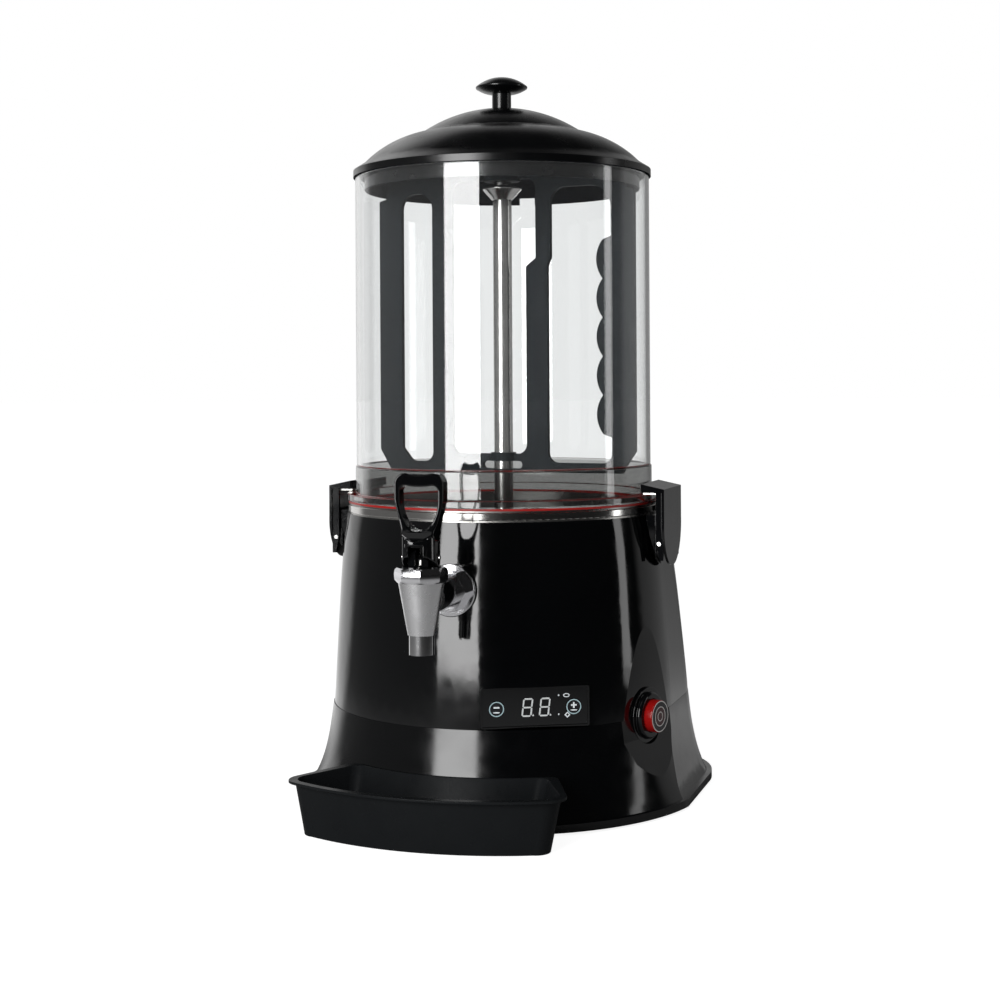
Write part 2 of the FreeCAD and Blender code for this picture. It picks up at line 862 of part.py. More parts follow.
def boss_places():
    """Centres of the four screws that hold the skirt to the base."""
    places = ((z.seam_half_width + z.boss_side_flare, z.boss_side_y),
              (z.boss_rear_x, z.seam_rear + z.boss_rear_flare))
    return [(side * x, y) for side in (-1, 1) for x, y in places]


def rubber_feet():
    body = new_body("rubber_feet")
    floor_top = BASE_LOW + z.base_floor
    discs(body, z.foot_radius, 0.0, BASE_LOW, foot_places())
    discs(body, z.foot_neck_radius, BASE_LOW, floor_top, foot_places())
    discs(body, z.foot_neck_radius + 2, floor_top, floor_top + 2, foot_places())
    return node(body)


def base_screws():
    body = new_body("base_screws")
    head_top = BASE_LOW + z.base_screw_head
    discs(body, z.base_screw_head_radius, BASE_LOW, head_top, boss_places())
    discs(body, z.base_screw_radius, head_top, BASE_LOW + z.base_screw_length, boss_places())
    return node(body)


def lower_skirt(outer):
    """Flared skirt with its screw bosses, the switch's half hole and the inlet's opening."""
    hollow = skirt_form("skirt_hollow", z.skirt_wall)
    solid = cut_from("skirt_solid", outer, [facet_form("skirt_facet", 0.0)])
    inside = cut_from("skirt_inside", hollow, [facet_form("skirt_inner_facet", z.skirt_wall)])
    wall = cut_from("skirt_shell", solid, [inside])
    bosses = new_body("skirt_bosses")
    discs(bosses, z.boss_radius, SKIRT_LOW, SKIRT_LOW + z.boss_height, boss_places())
    trimmed = doc.addObject("Part::Common", "skirt_bosses_trimmed")
    trimmed.Base = bosses
    trimmed.Tool = outer
    holes = new_body("skirt_boss_holes")
    discs(holes, z.base_screw_radius + z.slip_fit, SKIRT_LOW - 1, BASE_LOW + z.base_screw_length + 1,
          boss_places())
    opening = new_body("skirt_inlet_opening", level=z.inlet_level, rotation=facing(as_size(180)))
    half_width, half_height = z.inlet_half_width + z.slip_fit, z.inlet_half_height + z.slip_fit
    prism(opening, rectangle(-half_width, half_width, -half_height, half_height),
          INLET_FACE - z.inlet_depth, INLET_FACE)
    pad = doc.addObject("Part::Common", "skirt_switch_pad")
    pad.Base = switch_hole("skirt_switch_pad_form", z.switch_flange_radius + z.skirt_wall,
                           FACET - z.skirt_wall, FACET + 10)
    pad.Tool = solid
    seat = switch_hole("skirt_switch_seat", z.switch_flange_radius + z.part_gap,
                       FACET, FACET + 40)
    hole = switch_hole("skirt_switch_hole", z.switch_barrel_radius + z.slip_fit,
                       FACET - 40, FACET + 40)
    whole = fused("skirt_with_bosses", [wall, trimmed, pad])
    return node(cut_from("lower_skirt", whole, [holes, opening, seat, hole]))


def shell_tongue():
    """The lip inside the upper shell that reaches down behind the skirt's upper edge."""
    low, high = z.seam_level - z.tongue_depth, z.seam_level + z.tongue_depth
    inset = z.skirt_wall + z.tongue_gap
    shape = (z.seam_radius, z.seam_half_width, z.seam_rear, z.skirt_corner)
    outside = new_body("tongue_outside")
    prism(outside, arch(*shape, inset), low, high)
    inside = new_body("tongue_inside")
    prism(inside, arch(*shape, inset + z.tongue_wall), low, high)
    solid = cut_from("tongue_solid", outside, [facet_form("tongue_facet", inset)])
    hollow = cut_from("tongue_hollow", inside, [facet_form("tongue_inner_facet", inset + z.tongue_wall)])
    pad_room = switch_hole("tongue_pad_room", z.switch_flange_radius + z.skirt_wall + z.tongue_gap,
                           FACET - z.skirt_wall - z.tongue_gap * 0.75, FACET + 10)
    return cut_from("shell_tongue", solid, [hollow, pad_room])


def display_body(label):
    """A body whose XY plane faces out at the display's azimuth, at its level."""
    return new_body(label, level=z.display_level, rotation=facing(z.display_azimuth))


def display_boss(outer):
    """The thick pad inside the upper shell that carries the display, with posts for its board."""
    body = display_body("display_boss_form")
    half_width = z.display_half_width + z.display_boss_margin
    low = z.seam_level - z.display_level
    prism(body, rectangle(-half_width, half_width, low, z.display_half_height + z.display_boss_margin),
          DISPLAY_BOSS_BACK, SHELL_RADII[0])
    boss = doc.addObject("Part::Common", "display_boss")
    boss.Base = body
    boss.Tool = outer
    posts = display_body("display_posts")
    places = [(x * z.post_half_width, y * z.post_half_height) for x in (-1, 1) for y in (-1, 1)]
    discs(posts, z.board_post_radius, BOARD_BACK + z.board_thickness, DISPLAY_BOSS_BACK, places)
    return fused("display_mount", [boss, posts])


def display_pocket():
    """The recess for the display, with the openings through its floor."""
    body = display_body("display_pocket")
    half_width = z.display_half_width + z.slip_fit
    low, high = z.seam_level - z.display_level - 1, z.display_half_height + z.slip_fit
    prism(body, rectangle(-half_width, half_width, low, high), DISPLAY_FLOOR, SHELL_RADII[0] + 10)
    led_x, led_y = z.led_half_width + z.part_gap, z.led_half_height + z.part_gap
    prism(body, rectangle(-led_x, led_x, -led_y, led_y), DISPLAY_BOSS_BACK - 1, DISPLAY_FLOOR + 1)
    discs(body, z.button_radius + z.button_gap, DISPLAY_BOSS_BACK - 1, DISPLAY_FLOOR + 1, button_places())
    return body


def upper_shell(outer):
    """Round shell with the display's recess, the switch's half hole and the tap's hole."""
    hollow = shell_form("shell_hollow", z.shell_wall)
    solid = cut_from("shell_solid", outer, [facet_form("shell_facet", 0.0)])
    inside = cut_from("shell_inside", hollow, [facet_form("shell_inner_facet", z.shell_wall)])
    wall = cut_from("shell_wall", solid, [inside])
    whole = fused("shell_with_boss", [wall, shell_tongue(), display_boss(outer)])
    tap_hole = new_body("shell_tap_hole", level=z.tap_level, rotation=facing(as_size(0)))
    disc(tap_hole, z.shank_radius + z.part_gap, z.tank_radius, SHELL_RADII[0] + 10)
    screw_holes = new_body("shell_latch_holes")
    for side in LATCH_SIDES.values():
        latch_screw_discs(screw_holes, side, z.latch_screw_radius + z.slip_fit,
                          z.latch_screw_end, z.latch_base_face)
    hole = switch_hole("shell_switch_hole", z.switch_barrel_radius + z.slip_fit,
                       FACET - 40, FACET + 40)
    nut_room = switch_hole("shell_switch_nut_room", z.switch_nut_radius + 4, FACET - 20,
                           FACET - z.skirt_wall - z.tongue_gap / 2)
    return node(cut_from("upper_shell", whole, [display_pocket(), tap_hole, screw_holes, hole, nut_room]))


# --------------------------------------------------------------------------- bath, bowl, jar

def element_legs():
    """Centres of the heating element's two legs."""
    y = chord(z.element_circle, z.element_leg_offset)
    return [(side * z.element_leg_offset, y) for side in (-1, 1)]


def water_tank():
    """Open bath with a flange that hangs on the upper shell's rim."""
    body = new_body("water_tank")
    inside, floor = z.tank_radius - z.tank_wall, z.tank_floor_level + z.tank_wall
    turned(body, [
        (0.0, z.tank_floor_level), (z.tank_radius, z.tank_floor_level), (z.tank_radius, z.shell_top),
        (z.tank_flange_radius, z.shell_top), (z.tank_flange_radius, BAND_LOW), (inside, BAND_LOW),
        (inside, floor), (0.0, floor)])
    disc(body, z.tube_radius + z.slip_fit, z.tank_floor_level - 1, floor + 1, cut=True)
    leg_hole = z.element_leg_radius + z.slip_fit
    discs(body, leg_hole, z.tank_floor_level - 1, floor + 1, element_legs(), cut=True)
    disc(body, z.probe_radius + z.slip_fit, z.tank_floor_level - 1, floor + 1,
         -z.probe_x, -z.probe_y, cut=True)
    disc(body, z.shank_radius + z.slip_fit, z.tank_radius - 10, z.tank_radius + 10, 0.0, z.tap_level,
         cut=True, plane="XZ_Plane")
    return node(body)


def rim_band():
    body = new_body("rim_band")
    ring(body, z.band_bore, z.band_radius, BAND_LOW, BAND_HIGH)
    rounded(body, 0.8, lambda edge: is_rim(edge, z.band_radius.value))
    return node(body)


def product_bowl():
    """Pressed bowl under the jar, with a spigot for the tap's shank."""
    body = new_body("product_bowl")
    wall, floor, corner = z.bowl_wall, z.bowl_floor_level, z.bowl_corner
    outside, bend = z.bowl_radius, z.bowl_corner * (1 - math.sqrt(0.5))
    inside, inner_bend = outside - wall, (z.bowl_corner - wall) * (1 - math.sqrt(0.5))
    under = floor - wall
    turned(body, [
        (0.0, under),
        (outside - corner, under),
        (outside, under + corner, outside - bend, under + bend),
        (outside, BAND_HIGH),
        (z.bowl_rim_radius, BAND_HIGH),
        (z.bowl_rim_radius, GASKET_LOW),
        (inside, GASKET_LOW),
        (inside, under + corner),
        (outside - corner, floor, inside - inner_bend, floor + inner_bend),
        (0.0, floor)])
    disc(body, z.spigot_radius, z.bowl_radius - z.bowl_corner / 2, z.spigot_end, 0.0, z.tap_level,
         plane="XZ_Plane")
    disc(body, z.shank_radius + z.slip_fit, z.shank_inner_end - 12, z.spigot_end + 1, 0.0, z.tap_level,
         cut=True, plane="XZ_Plane")
    disc(body, z.tube_radius + z.slip_fit, under - 1, floor + 1, cut=True)
    return node(body)


def jar_gasket():
    body = new_body("jar_gasket")
    ring(body, z.gasket_bore, z.gasket_radius, GASKET_LOW, JAR_LOW)
    return node(body)


def jar():
    """Clear jar: a thick foot with a flange, and a plain straight wall above it."""
    body = new_body("jar")
    inside = z.jar_radius - z.jar_wall
    collar_inside, collar_top = z.jar_radius - z.jar_collar_wall, JAR_LOW + z.jar_collar_height
    turned(body, [
        (collar_inside, JAR_LOW),
        (z.jar_flange_radius, JAR_LOW),
        (z.jar_flange_radius, FLANGE_TOP),
        (z.jar_radius + z.jar_collar_step, FLANGE_TOP),
        (z.jar_radius + z.jar_collar_step, collar_top),
        (z.jar_radius, collar_top + z.jar_collar_step),
        (z.jar_radius, z.jar_top),
        (inside, z.jar_top),
        (inside, collar_top + z.jar_collar_wall - z.jar_wall),
        (collar_inside, collar_top)])
    rounded(body, 1.0, lambda edge: is_rim(edge, z.jar_flange_radius.value))
    return node(body)


# ------------------------------------------------------------------------ centre tube, drive

def centre_tube():
    body = new_body("centre_tube")
    flange_top = z.bowl_floor_level + z.tube_flange_height
    turned(body, [
        (z.tube_bore, z.tube_bottom), (z.tube_radius, z.tube_bottom), (z.tube_radius, z.bowl_floor_level),
        (z.tube_flange_radius, z.bowl_floor_level), (z.tube_flange_radius, flange_top),
        (z.tube_radius, flange_top), (z.tube_radius, z.tube_top), (z.tube_bore, z.tube_top)])
    return node(body)


def tube_nuts():
    """Nuts on the centre tube under the bowl and under the bath."""
    body = new_body("tube_nuts")
    for top in (z.bowl_floor_level - z.bowl_wall, z.tank_floor_level):
        prism(body, hexagon(z.tube_nut_radius), top - z.tube_nut_height, top)
        disc(body, z.tube_radius + z.slip_fit, top - z.tube_nut_height, top, cut=True)
    return node(body)


def tube_collar():
    body = new_body("tube_collar")
    bore, top = z.tube_radius + z.slip_fit, z.collar_high + z.collar_edge
    turned(body, [
        (bore, z.collar_low), (bore + 0.6, z.collar_low), (z.collar_radius, z.collar_high),
        (z.collar_radius, top), (bore, top)])
    return node(body)


def shaft_bushes():
    body = new_body("shaft_bushes")
    bore = z.shaft_radius + z.shaft_running_gap
    for low in (z.tube_bottom + 2, z.tube_top - z.bush_length):
        ring(body, bore, z.tube_bore, low, low + z.bush_length)
    return node(body)


def drive_shaft():
    body = new_body("drive_shaft")
    disc(body, z.shaft_radius, z.shaft_joint_level, z.shaft_top)
    return node(body)


def drive_coupling():
    body = new_body("drive_coupling")
    low = z.shaft_joint_level - z.coupling_length / 2 + 1
    ring(body, z.shaft_radius, z.coupling_radius, low, low + z.coupling_length - 1)
    return node(body)


def gearbox_shaft():
    body = new_body("gearbox_shaft")
    disc(body, z.shaft_radius, z.shaft_joint_level - z.gearbox_shaft_length, z.shaft_joint_level)
    return node(body)


def around(radius, count, first=45.0):
    """Places of equal features round a circle."""
    angles = [math.radians(first + 360.0 * index / count) for index in range(count)]
    return [(radius * math.cos(angle), radius * math.sin(angle)) for angle in angles]


def gear_motor():
    body = new_body("gear_motor")
    top = z.bracket_top - z.bracket_plate
    gearbox_low = top - z.gearbox_height
    disc(body, z.gearbox_radius, gearbox_low, top)
    disc(body, z.motor_radius, gearbox_low - z.motor_height, gearbox_low)
    shaft_low = z.shaft_joint_level - z.gearbox_shaft_length
    disc(body, z.shaft_radius + z.shaft_running_gap, shaft_low - z.part_gap, top, cut=True)
    return node(body)


def motor_bracket():
    """Plate with posts, under the bath's floor, that carries the gear motor."""
    body = new_body("motor_bracket")
    disc(body, z.bracket_radius, z.bracket_top - z.bracket_plate, z.bracket_top)
    discs(body, z.post_radius, z.bracket_top, z.tank_floor_level, around(z.post_circle, BRACKET_POSTS, 0.0))
    disc(body, z.bracket_bore, z.bracket_top - z.bracket_plate, z.bracket_top, cut=True)
    return node(body)


# --------------------------------------------------------------------------- heat and sensing

def heating_element():
    """Ring element in the bath, with two sleeved legs through its floor."""
    body = new_body("heating_element")
    sketch = draw_circle(sketch_on(body, "XZ_Plane"), z.element_radius, z.element_circle, z.element_level)
    loop = body.newObject("PartDesign::Revolution", "element_loop")
    loop.Profile = sketch
    loop.ReferenceAxis = (sketch, ["V_Axis"])
    loop.Angle = 360
    body.Tip = loop
    leg_top = z.element_level + z.element_leg_radius
    discs(body, z.element_leg_radius, z.element_leg_bottom, leg_top, element_legs())
    return node(body)


def safety_thermostat():
    body = new_body("safety_thermostat", z.thermostat_x, -z.thermostat_y)
    top = z.tank_floor_level
    disc(body, z.thermostat_radius, top - z.thermostat_height, top)
    prism(body, rectangle(-4.0, 4.0, -2.0, 2.0), top - z.thermostat_height - 5, top - z.thermostat_height)
    return node(body)


def temperature_probe():
    body = new_body("temperature_probe", -z.probe_x, -z.probe_y)
    disc(body, z.probe_radius, z.probe_bottom, z.probe_top)
    prism(body, hexagon(z.probe_gland_radius), z.tank_floor_level - z.probe_gland_height, z.tank_floor_level)
    return node(body)


# ---------------------------------------------------------------------------------- electrics

def terminal_block():
    body = new_body("terminal_block", -z.terminal_x, z.terminal_y, BASE_LOW + z.base_floor)
    prism(body, rectangle(0.0, z.terminal_length, 0.0, z.terminal_width), 0.0, z.terminal_height)
    prism(body, rectangle(0.0, z.terminal_length, 7.0, z.terminal_width - 7), z.terminal_height - 6,
          z.terminal_height, cut=True)
    return node(body)


def cord_inlet(skirt_outer):
    """Appliance inlet in the rear of the skirt, its flange shaped to the skirt."""
    body = new_body("inlet_form", level=z.inlet_level, rotation=facing(as_size(180)))
    width, height, wall = z.inlet_half_width, z.inlet_half_height, z.inlet_socket_wall
    prism(body, rectangle(-z.inlet_flange_half_width, z.inlet_flange_half_width,
                          -z.inlet_flange_half_height, z.inlet_flange_half_height),
          z.seam_rear - 2, INLET_FACE)
    trimmed = cut_from("inlet_flange", body, [skirt_outer])
    housing = new_body("inlet_housing", level=z.inlet_level, rotation=facing(as_size(180)))
    prism(housing, rectangle(-width, width, -height, height), INLET_FACE - z.inlet_depth, INLET_FACE)
    socket = new_body("inlet_socket", level=z.inlet_level, rotation=facing(as_size(180)))
    prism(socket, rectangle(wall - width, width - wall, wall - height, height - wall),
          INLET_FACE - z.inlet_socket_depth, INLET_FACE + 1)
    holes = new_body("inlet_pin_holes", level=z.inlet_level, rotation=facing(as_size(180)))
    discs(holes, z.inlet_pin_radius, INLET_FACE - z.inlet_depth - 1, INLET_FACE - z.inlet_socket_depth + 1,
          inlet_pin_places())
    return node(cut_from("cord_inlet", fused("inlet_whole", [trimmed, housing]), [socket, holes]))


def inlet_pin_places():
    """Centres of the inlet's three pins."""
    return [(-z.inlet_pin_spread, -2.0), (z.inlet_pin_spread, -2.0), (0.0, 2.6)]


def inlet_pins():
    body = new_body("inlet_pins", level=z.inlet_level, rotation=facing(as_size(180)))
    low = INLET_FACE - z.inlet_depth - 6
    high = INLET_FACE - z.inlet_socket_depth + z.inlet_pin_reach
    discs(body, z.inlet_pin_radius, low, high, inlet_pin_places())
    return node(body)


def button_places():
    """Centres of the two round display buttons."""
    return [(side * z.button_spread, -z.button_drop) for side in (-1, 1)]


def display_bezel():
    body = display_body("display_bezel")
    width, height, frame = z.display_half_width, z.display_half_height, z.display_frame
    top = DISPLAY_FACE + z.display_frame_proud
    prism(body, rectangle(-width, width, -height, height), DISPLAY_FLOOR + z.slip_fit, top)
    rounded(body, z.display_frame, lambda edge: runs_along(edge, Vector(0, 0, 1)))
    prism(body, rectangle(frame - width, width - frame, frame - height, height - frame),
          DISPLAY_FLOOR, top, cut=True)
    return node(body)


def display_window():
    body = display_body("display_window")
    width = z.display_half_width - z.display_frame - z.slip_fit
    height = z.display_half_height - z.display_frame - z.slip_fit
    prism(body, rectangle(-width, width, -height, height), DISPLAY_FLOOR + z.slip_fit, DISPLAY_FACE)
    discs(body, z.button_radius + z.button_gap, DISPLAY_FLOOR - 1, DISPLAY_FACE + 1, button_places(),
          cut=True)
    return node(body)


def display_button(label, side):
    """Round cap with a stem that presses its key switch."""
    body = new_body(label, level=z.display_level, rotation=facing(z.display_azimuth))
    face = DISPLAY_FACE + z.button_proud
    back = face - z.button_cap_depth
    place_on_panel = (side * z.button_spread, -z.button_drop)
    disc(body, z.button_radius, back, face, *place_on_panel)
    rounded(body, 0.6, lambda edge: abs(edge.BoundBox.ZMin - face.value) < 0.01)
    disc(body, z.button_stem_radius, back - z.button_stem_length, back, *place_on_panel)
    return node(body)


def led_display():
    body = display_body("led_display")
    width, height = z.led_half_width, z.led_half_height
    prism(body, rectangle(-width, width, -height, height), BOARD_BACK + z.board_thickness, DISPLAY_FLOOR)
    return node(body)


def control_board():
    """Circuit board with its two soldered key switches."""
    body = display_body("control_board")
    width, height = z.board_half_width, z.board_half_height
    front = BOARD_BACK + z.board_thickness
    prism(body, rectangle(-width, width, -height, height), BOARD_BACK, front)
    stem_end = DISPLAY_FACE + z.button_proud - z.button_cap_depth - z.button_stem_length
    discs(body, z.key_switch_radius, front, stem_end - z.button_travel - z.part_gap / 2, button_places())
    return node(body)


# -------------------------------------------------------------------------------- power switch

def switch_frame(label):
    """A body whose XY plane faces out along the power switch's axis."""
    return new_body(label, level=z.switch_level, rotation=facing(z.facet_azimuth))


def switch_body():
    body = switch_frame("switch_body")
    face = FACET + z.slip_fit
    collar = face + z.switch_flange_height
    top = collar + z.switch_collar_height
    disc(body, z.switch_flange_radius, face, collar)
    disc(body, z.switch_collar_radius, collar, top)
    bevelled(body, z.switch_collar_bevel,
             lambda edge: abs(edge.BoundBox.ZMin - top.value) < 0.01)
    disc(body, z.switch_barrel_radius, face - z.switch_barrel_depth, face)
    disc(body, z.power_button_radius + z.part_gap, face - z.switch_bore_depth, top, cut=True)
    return node(body)


def switch_nut():
    body = switch_frame("switch_nut")
    high = FACET - z.shell_wall - z.slip_fit
    prism(body, hexagon(z.switch_nut_radius - 2), high - z.switch_nut_height, high)
    disc(body, z.switch_barrel_radius + z.slip_fit, high - z.switch_nut_height, high, cut=True)
    return node(body)


def power_button():
    """Round cap with a slightly domed face."""
    body = switch_frame("power_button")
    face = FACET + z.slip_fit
    top = face + z.switch_flange_height + z.switch_collar_height + z.power_button_proud
    low = face - z.switch_bore_depth + z.power_button_travel + z.part_gap
    disc(body, z.power_button_radius, low, top)
    rounded(body, z.power_button_dome, lambda edge: abs(edge.BoundBox.ZMin - top.value) < 0.01)
    return node(body)


# ----------------------------------------------------------------------------------------- tap

def shank_body(label):
    """A body whose XY plane faces out of the front at the tap's level."""
    return new_body(label, level=z.tap_level, rotation=facing(as_size(0)))


def tap_flange(shell_outer):
    """Escutcheon, its back shaped to the upper shell."""
    form = shank_body("tap_flange_form")
    disc(form, z.flange_radius, z.tank_radius + 6, FLANGE_FACE)
    rounded(form, 1.0, lambda edge: abs(edge.BoundBox.ZMin - FLANGE_FACE.value) < 0.01)
    disc(form, z.shank_radius + z.slip_fit, z.tank_radius, FLANGE_FACE, cut=True)
    return node(cut_from("tap_flange", form, [shell_outer]))


def tap_nut():
    body = shank_body("tap_nut")
    prism(body, hexagon(z.tap_nut_half_width), FLANGE_FACE, TAP_NUT_END)
    disc(body, z.shank_radius + z.slip_fit, FLANGE_FACE, TAP_NUT_END, cut=True)
    return node(body)


def tap_shank():
    """Threaded tube from the bowl's spigot to the tap."""
    body = shank_body("tap_shank")
    disc(body, z.shank_radius, z.shank_inner_end, z.shank_outer_end)
    disc(body, z.shank_bore, z.shank_inner_end, z.shank_outer_end, cut=True)
    return node(body)


def shank_locknut():
    body = shank_body("shank_locknut")
    low = z.tank_radius + z.slip_fit
    prism(body, hexagon(z.locknut_half_width), low, low + z.locknut_height)
    disc(body, z.shank_radius + z.slip_fit, low, low + z.locknut_height, cut=True)
    return node(body)


def tap_frame(label):
    """A body whose vertical axis is the tap's own."""
    return new_body(label, y=-z.tap_reach)


def tap_body():
    """Spout, tapering valve chamber and the neck that screws on the shank."""
    body = tap_frame("tap_body")
    turned(body, [
        (0.0, z.spout_bottom), (z.spout_radius, z.spout_bottom), (z.spout_radius, z.spout_top),
        (z.cone_low_radius, z.spout_top), (z.cone_radius, z.cone_top), (0.0, z.cone_top)])
    neck = draw_circle(sketch_on(body, "XZ_Plane"), z.neck_radius, 0.0, z.tap_level)
    raise_profile(body, neck, z.tap_reach - TAP_NUT_END - z.slip_fit).Reversed = True
    turned(body, [
        (0.0, z.spout_bottom), (z.spout_bore, z.spout_bottom), (z.spout_bore, z.chamber_floor),
        (z.chamber_radius, z.chamber_floor), (z.chamber_radius, z.cone_top), (0.0, z.cone_top)], cut=True)
    passage = draw_circle(sketch_on(body, "XZ_Plane"), z.shank_bore, 0.0, z.tap_level)
    raise_profile(body, passage, z.tap_reach - TAP_NUT_END, cut=True).Reversed = False
    socket = sketch_on(body, "XZ_Plane", z.shank_outer_end - z.tap_reach)
    draw_circle(socket, z.shank_radius + z.slip_fit, 0.0, z.tap_level)
    raise_profile(body, socket, z.shank_outer_end - TAP_NUT_END, cut=True).Reversed = False
    return node(body)


def tap_bonnet():
    """Hexagon nut that holds the black valve cap on the tap."""
    body = tap_frame("tap_bonnet")
    prism(body, hexagon(z.bonnet_half_width), z.cone_top, z.bonnet_top)
    disc(body, z.bonnet_bore, z.cone_top, z.bonnet_top, cut=True)
    start, end = z.bonnet_half_width, z.bonnet_half_width + 4
    for face, inner in ((z.bonnet_top, z.bonnet_top - z.bonnet_bevel),
                        (z.cone_top, z.cone_top + z.bonnet_bevel)):
        turned(body, [(start, face), (end, face), (end, inner)], cut=True)
    return node(body)


def valve_cap():
    """Black cap with the tongue that carries the lever's pins and guides the stem."""
    body = tap_frame("valve_cap")
    shelf = z.pivot_level - z.lever_foot_depth - z.part_gap * 1.5
    disc(body, z.cap_radius, z.cone_top, shelf)
    disc(body, z.cap_plug_radius, z.cone_top - z.cap_plug_depth, z.cone_top)
    half, top = z.pivot_round, z.pivot_level
    tongue = [(-half, shelf), (half, shelf), (half, top), (-half, top, 0.0, top + half)]
    plate(body, [tongue], z.cap_tongue_half_width * 2, plane="YZ_Plane")
    disc(body, z.stem_radius + z.guide_running_gap, z.cone_top - z.cap_plug_depth, top + half, cut=True)
    slot = z.stem_radius + z.guide_running_gap
    prism(body, rectangle(-slot, slot, -half - 1, 0.0), shelf + 1, top + half, cut=True)
    pins = sketch_on(body, "YZ_Plane")
    draw_circle(pins, z.pivot_radius, 0.0, top)
    raise_profile(body, pins, z.lever_block_radius * 2, cut=True, midplane=True)
    return node(body)


def lever_pins():
    """Two short pins on one line, one each side of the valve's stem."""
    body = tap_frame("lever_pins")
    inner, outer = z.stem_radius + z.part_gap * 2, z.lever_block_radius + 0.8
    for side in (-1, 1):
        start = inner if side > 0 else -outer
        sketch = draw_circle(sketch_on(body, "YZ_Plane", start), z.pivot_radius, 0.0, z.pivot_level)
        raise_profile(body, sketch, outer - inner)
    return node(body)


def loop_outline():
    """The lever's loop seen from the front: broad above, with a shallow dip in its top."""
    foot, wide, top, turn = z.loop_foot_half_width, z.loop_half_width, z.loop_top, z.loop_corner
    low, waist, shoulder = z.lever_block_top - 1, z.loop_waist_level, z.loop_shoulder_level
    bend = turn * (1 - math.sqrt(0.5))
    bow, middle = (foot + wide) / 2 + 0.45, (waist + shoulder) / 2
    return [
        (-foot, low),
        (foot, low),
        (foot, waist),
        (wide, shoulder, bow, middle),
        (wide, top - turn),
        (wide - turn, top, wide - bend, top - bend),
        (turn - wide, top, 0.0, top - z.loop_dip),
        (-wide, top - turn, bend - wide, top - bend),
        (-wide, shoulder),
        (-foot, waist, -bow, middle),
    ]


def loop_hole():
    """The finger hole: a shield with a shallow dip above and a rounded foot."""
    wide, low, top, shoulder = z.loop_hole_half_width, z.loop_hole_low, z.loop_hole_top, z.loop_shoulder_level
    return [
        (wide - 5.9, low + 4, 0.0, low),
        (wide, shoulder - 2, wide - 1.9, low + 11.5),
        (wide, top - 4.4),
        (wide - 4.3, top, wide - 1.3, top - 1.3),
        (4.3 - wide, top, 0.0, top - z.loop_dip * 0.7),
        (-wide, top - 4.4, 1.3 - wide, top - 1.3),
        (-wide, shoulder - 2),
        (5.9 - wide, low + 4, 1.9 - wide, low + 11.5),
    ]


def lever_loop():
    """The band that the fingers hold."""
    body = tap_frame("lever_loop")
    plate(body, [loop_outline()], z.lever_thickness)
    plate(body, [loop_hole()], z.lever_thickness * 2, cut=True)
    return body


def lever_flare():
    """Where the loop deepens from front to back until it meets the round block."""
    form = tap_frame("lever_flare_form")
    block, low = z.lever_block_radius, z.lever_block_top - 1
    plate(form, [loop_outline()], block * 2)
    plate(form, [loop_hole()], block * 3, cut=True)
    turned(form, [(block, low - 4), (block, low + 3), (block + 7, low + 15), (block * 3, low + 15),
                  (block * 3, low - 4)], cut=True)
    side = tap_frame("lever_side_form")
    thin, meet, top = z.lever_thickness / 2, z.lever_block_top, z.lever_flare_top
    via = ((block + thin) / 2 - 2, (meet + top) / 2 - 0.9)
    profile = [
        (-block, low), (block, low), (block, meet), (thin, top) + via, (thin, top + 3), (-thin, top + 3),
        (-thin, top), (-block, meet, -via[0], via[1])]
    plate(side, [profile], z.loop_half_width * 3, plane="YZ_Plane")
    flare = doc.addObject("Part::Common", "lever_flare")
    flare.Base = form
    flare.Tool = side
    return flare


def tap_lever():
    """Loop handle on a round block, whose cavity takes the cap's tongue and clears it as it swings."""
    pivot, foot, block = z.pivot_level, z.lever_foot_depth, z.lever_block_radius
    base = tap_frame("lever_block")
    disc(base, block, pivot - foot, z.lever_block_top)
    cavity = tap_frame("lever_cavity")
    inside = z.lever_cavity_half_width
    prism(cavity, rectangle(-inside, inside, -z.lever_cavity_front, z.pivot_round + z.part_gap),
          pivot - foot - 2, pivot + z.pivot_round + z.part_gap)
    slot = tap_frame("lever_slot")
    half = z.lever_slot_half_width
    prism(slot, rectangle(-half, half, -block - 2, 0.5 - z.lever_cavity_front), pivot - foot - 2,
          z.lever_slot_top)
    relief = tap_frame("lever_relief")
    swing, far = z.lever_swing, block + 3
    start = foot * (1 - cosine(swing)) / sine(swing)
    rise = (far * sine(swing) - foot) / cosine(swing)
    plate(relief, [[(-start, pivot - foot), (-start, pivot - foot - 3), (-far, pivot - foot - 3),
                    (-far, pivot + rise)]], block * 3, plane="YZ_Plane")
    pins = tap_frame("lever_pin_holes")
    sketch = draw_circle(sketch_on(pins, "YZ_Plane"), z.pivot_radius + z.shaft_running_gap, 0.0, pivot)
    raise_profile(pins, sketch, block * 3, midplane=True)
    whole = fused("lever_whole", [lever_loop(), lever_flare(), base])
    return node(cut_from("tap_lever", whole, [cavity, slot, relief, pins]))


def valve_stem():
    body = tap_frame("valve_stem")
    disc(body, z.stem_radius, z.chamber_floor + z.cup_gap + z.cup_height / 2, z.stem_top)
    return node(body)


def seat_cup():
    """Rubber cup on the stem's lower end, which closes the spout."""
    body = tap_frame("seat_cup")
    low = z.chamber_floor + z.cup_gap
    disc(body, z.cup_radius, low, low + z.cup_height)
    disc(body, z.stem_radius, low + z.cup_height / 2, low + z.cup_height, cut=True)
    bevelled(body, 1.5, lambda edge: abs(edge.BoundBox.ZMax - low.value) < 0.01)
    return node(body)


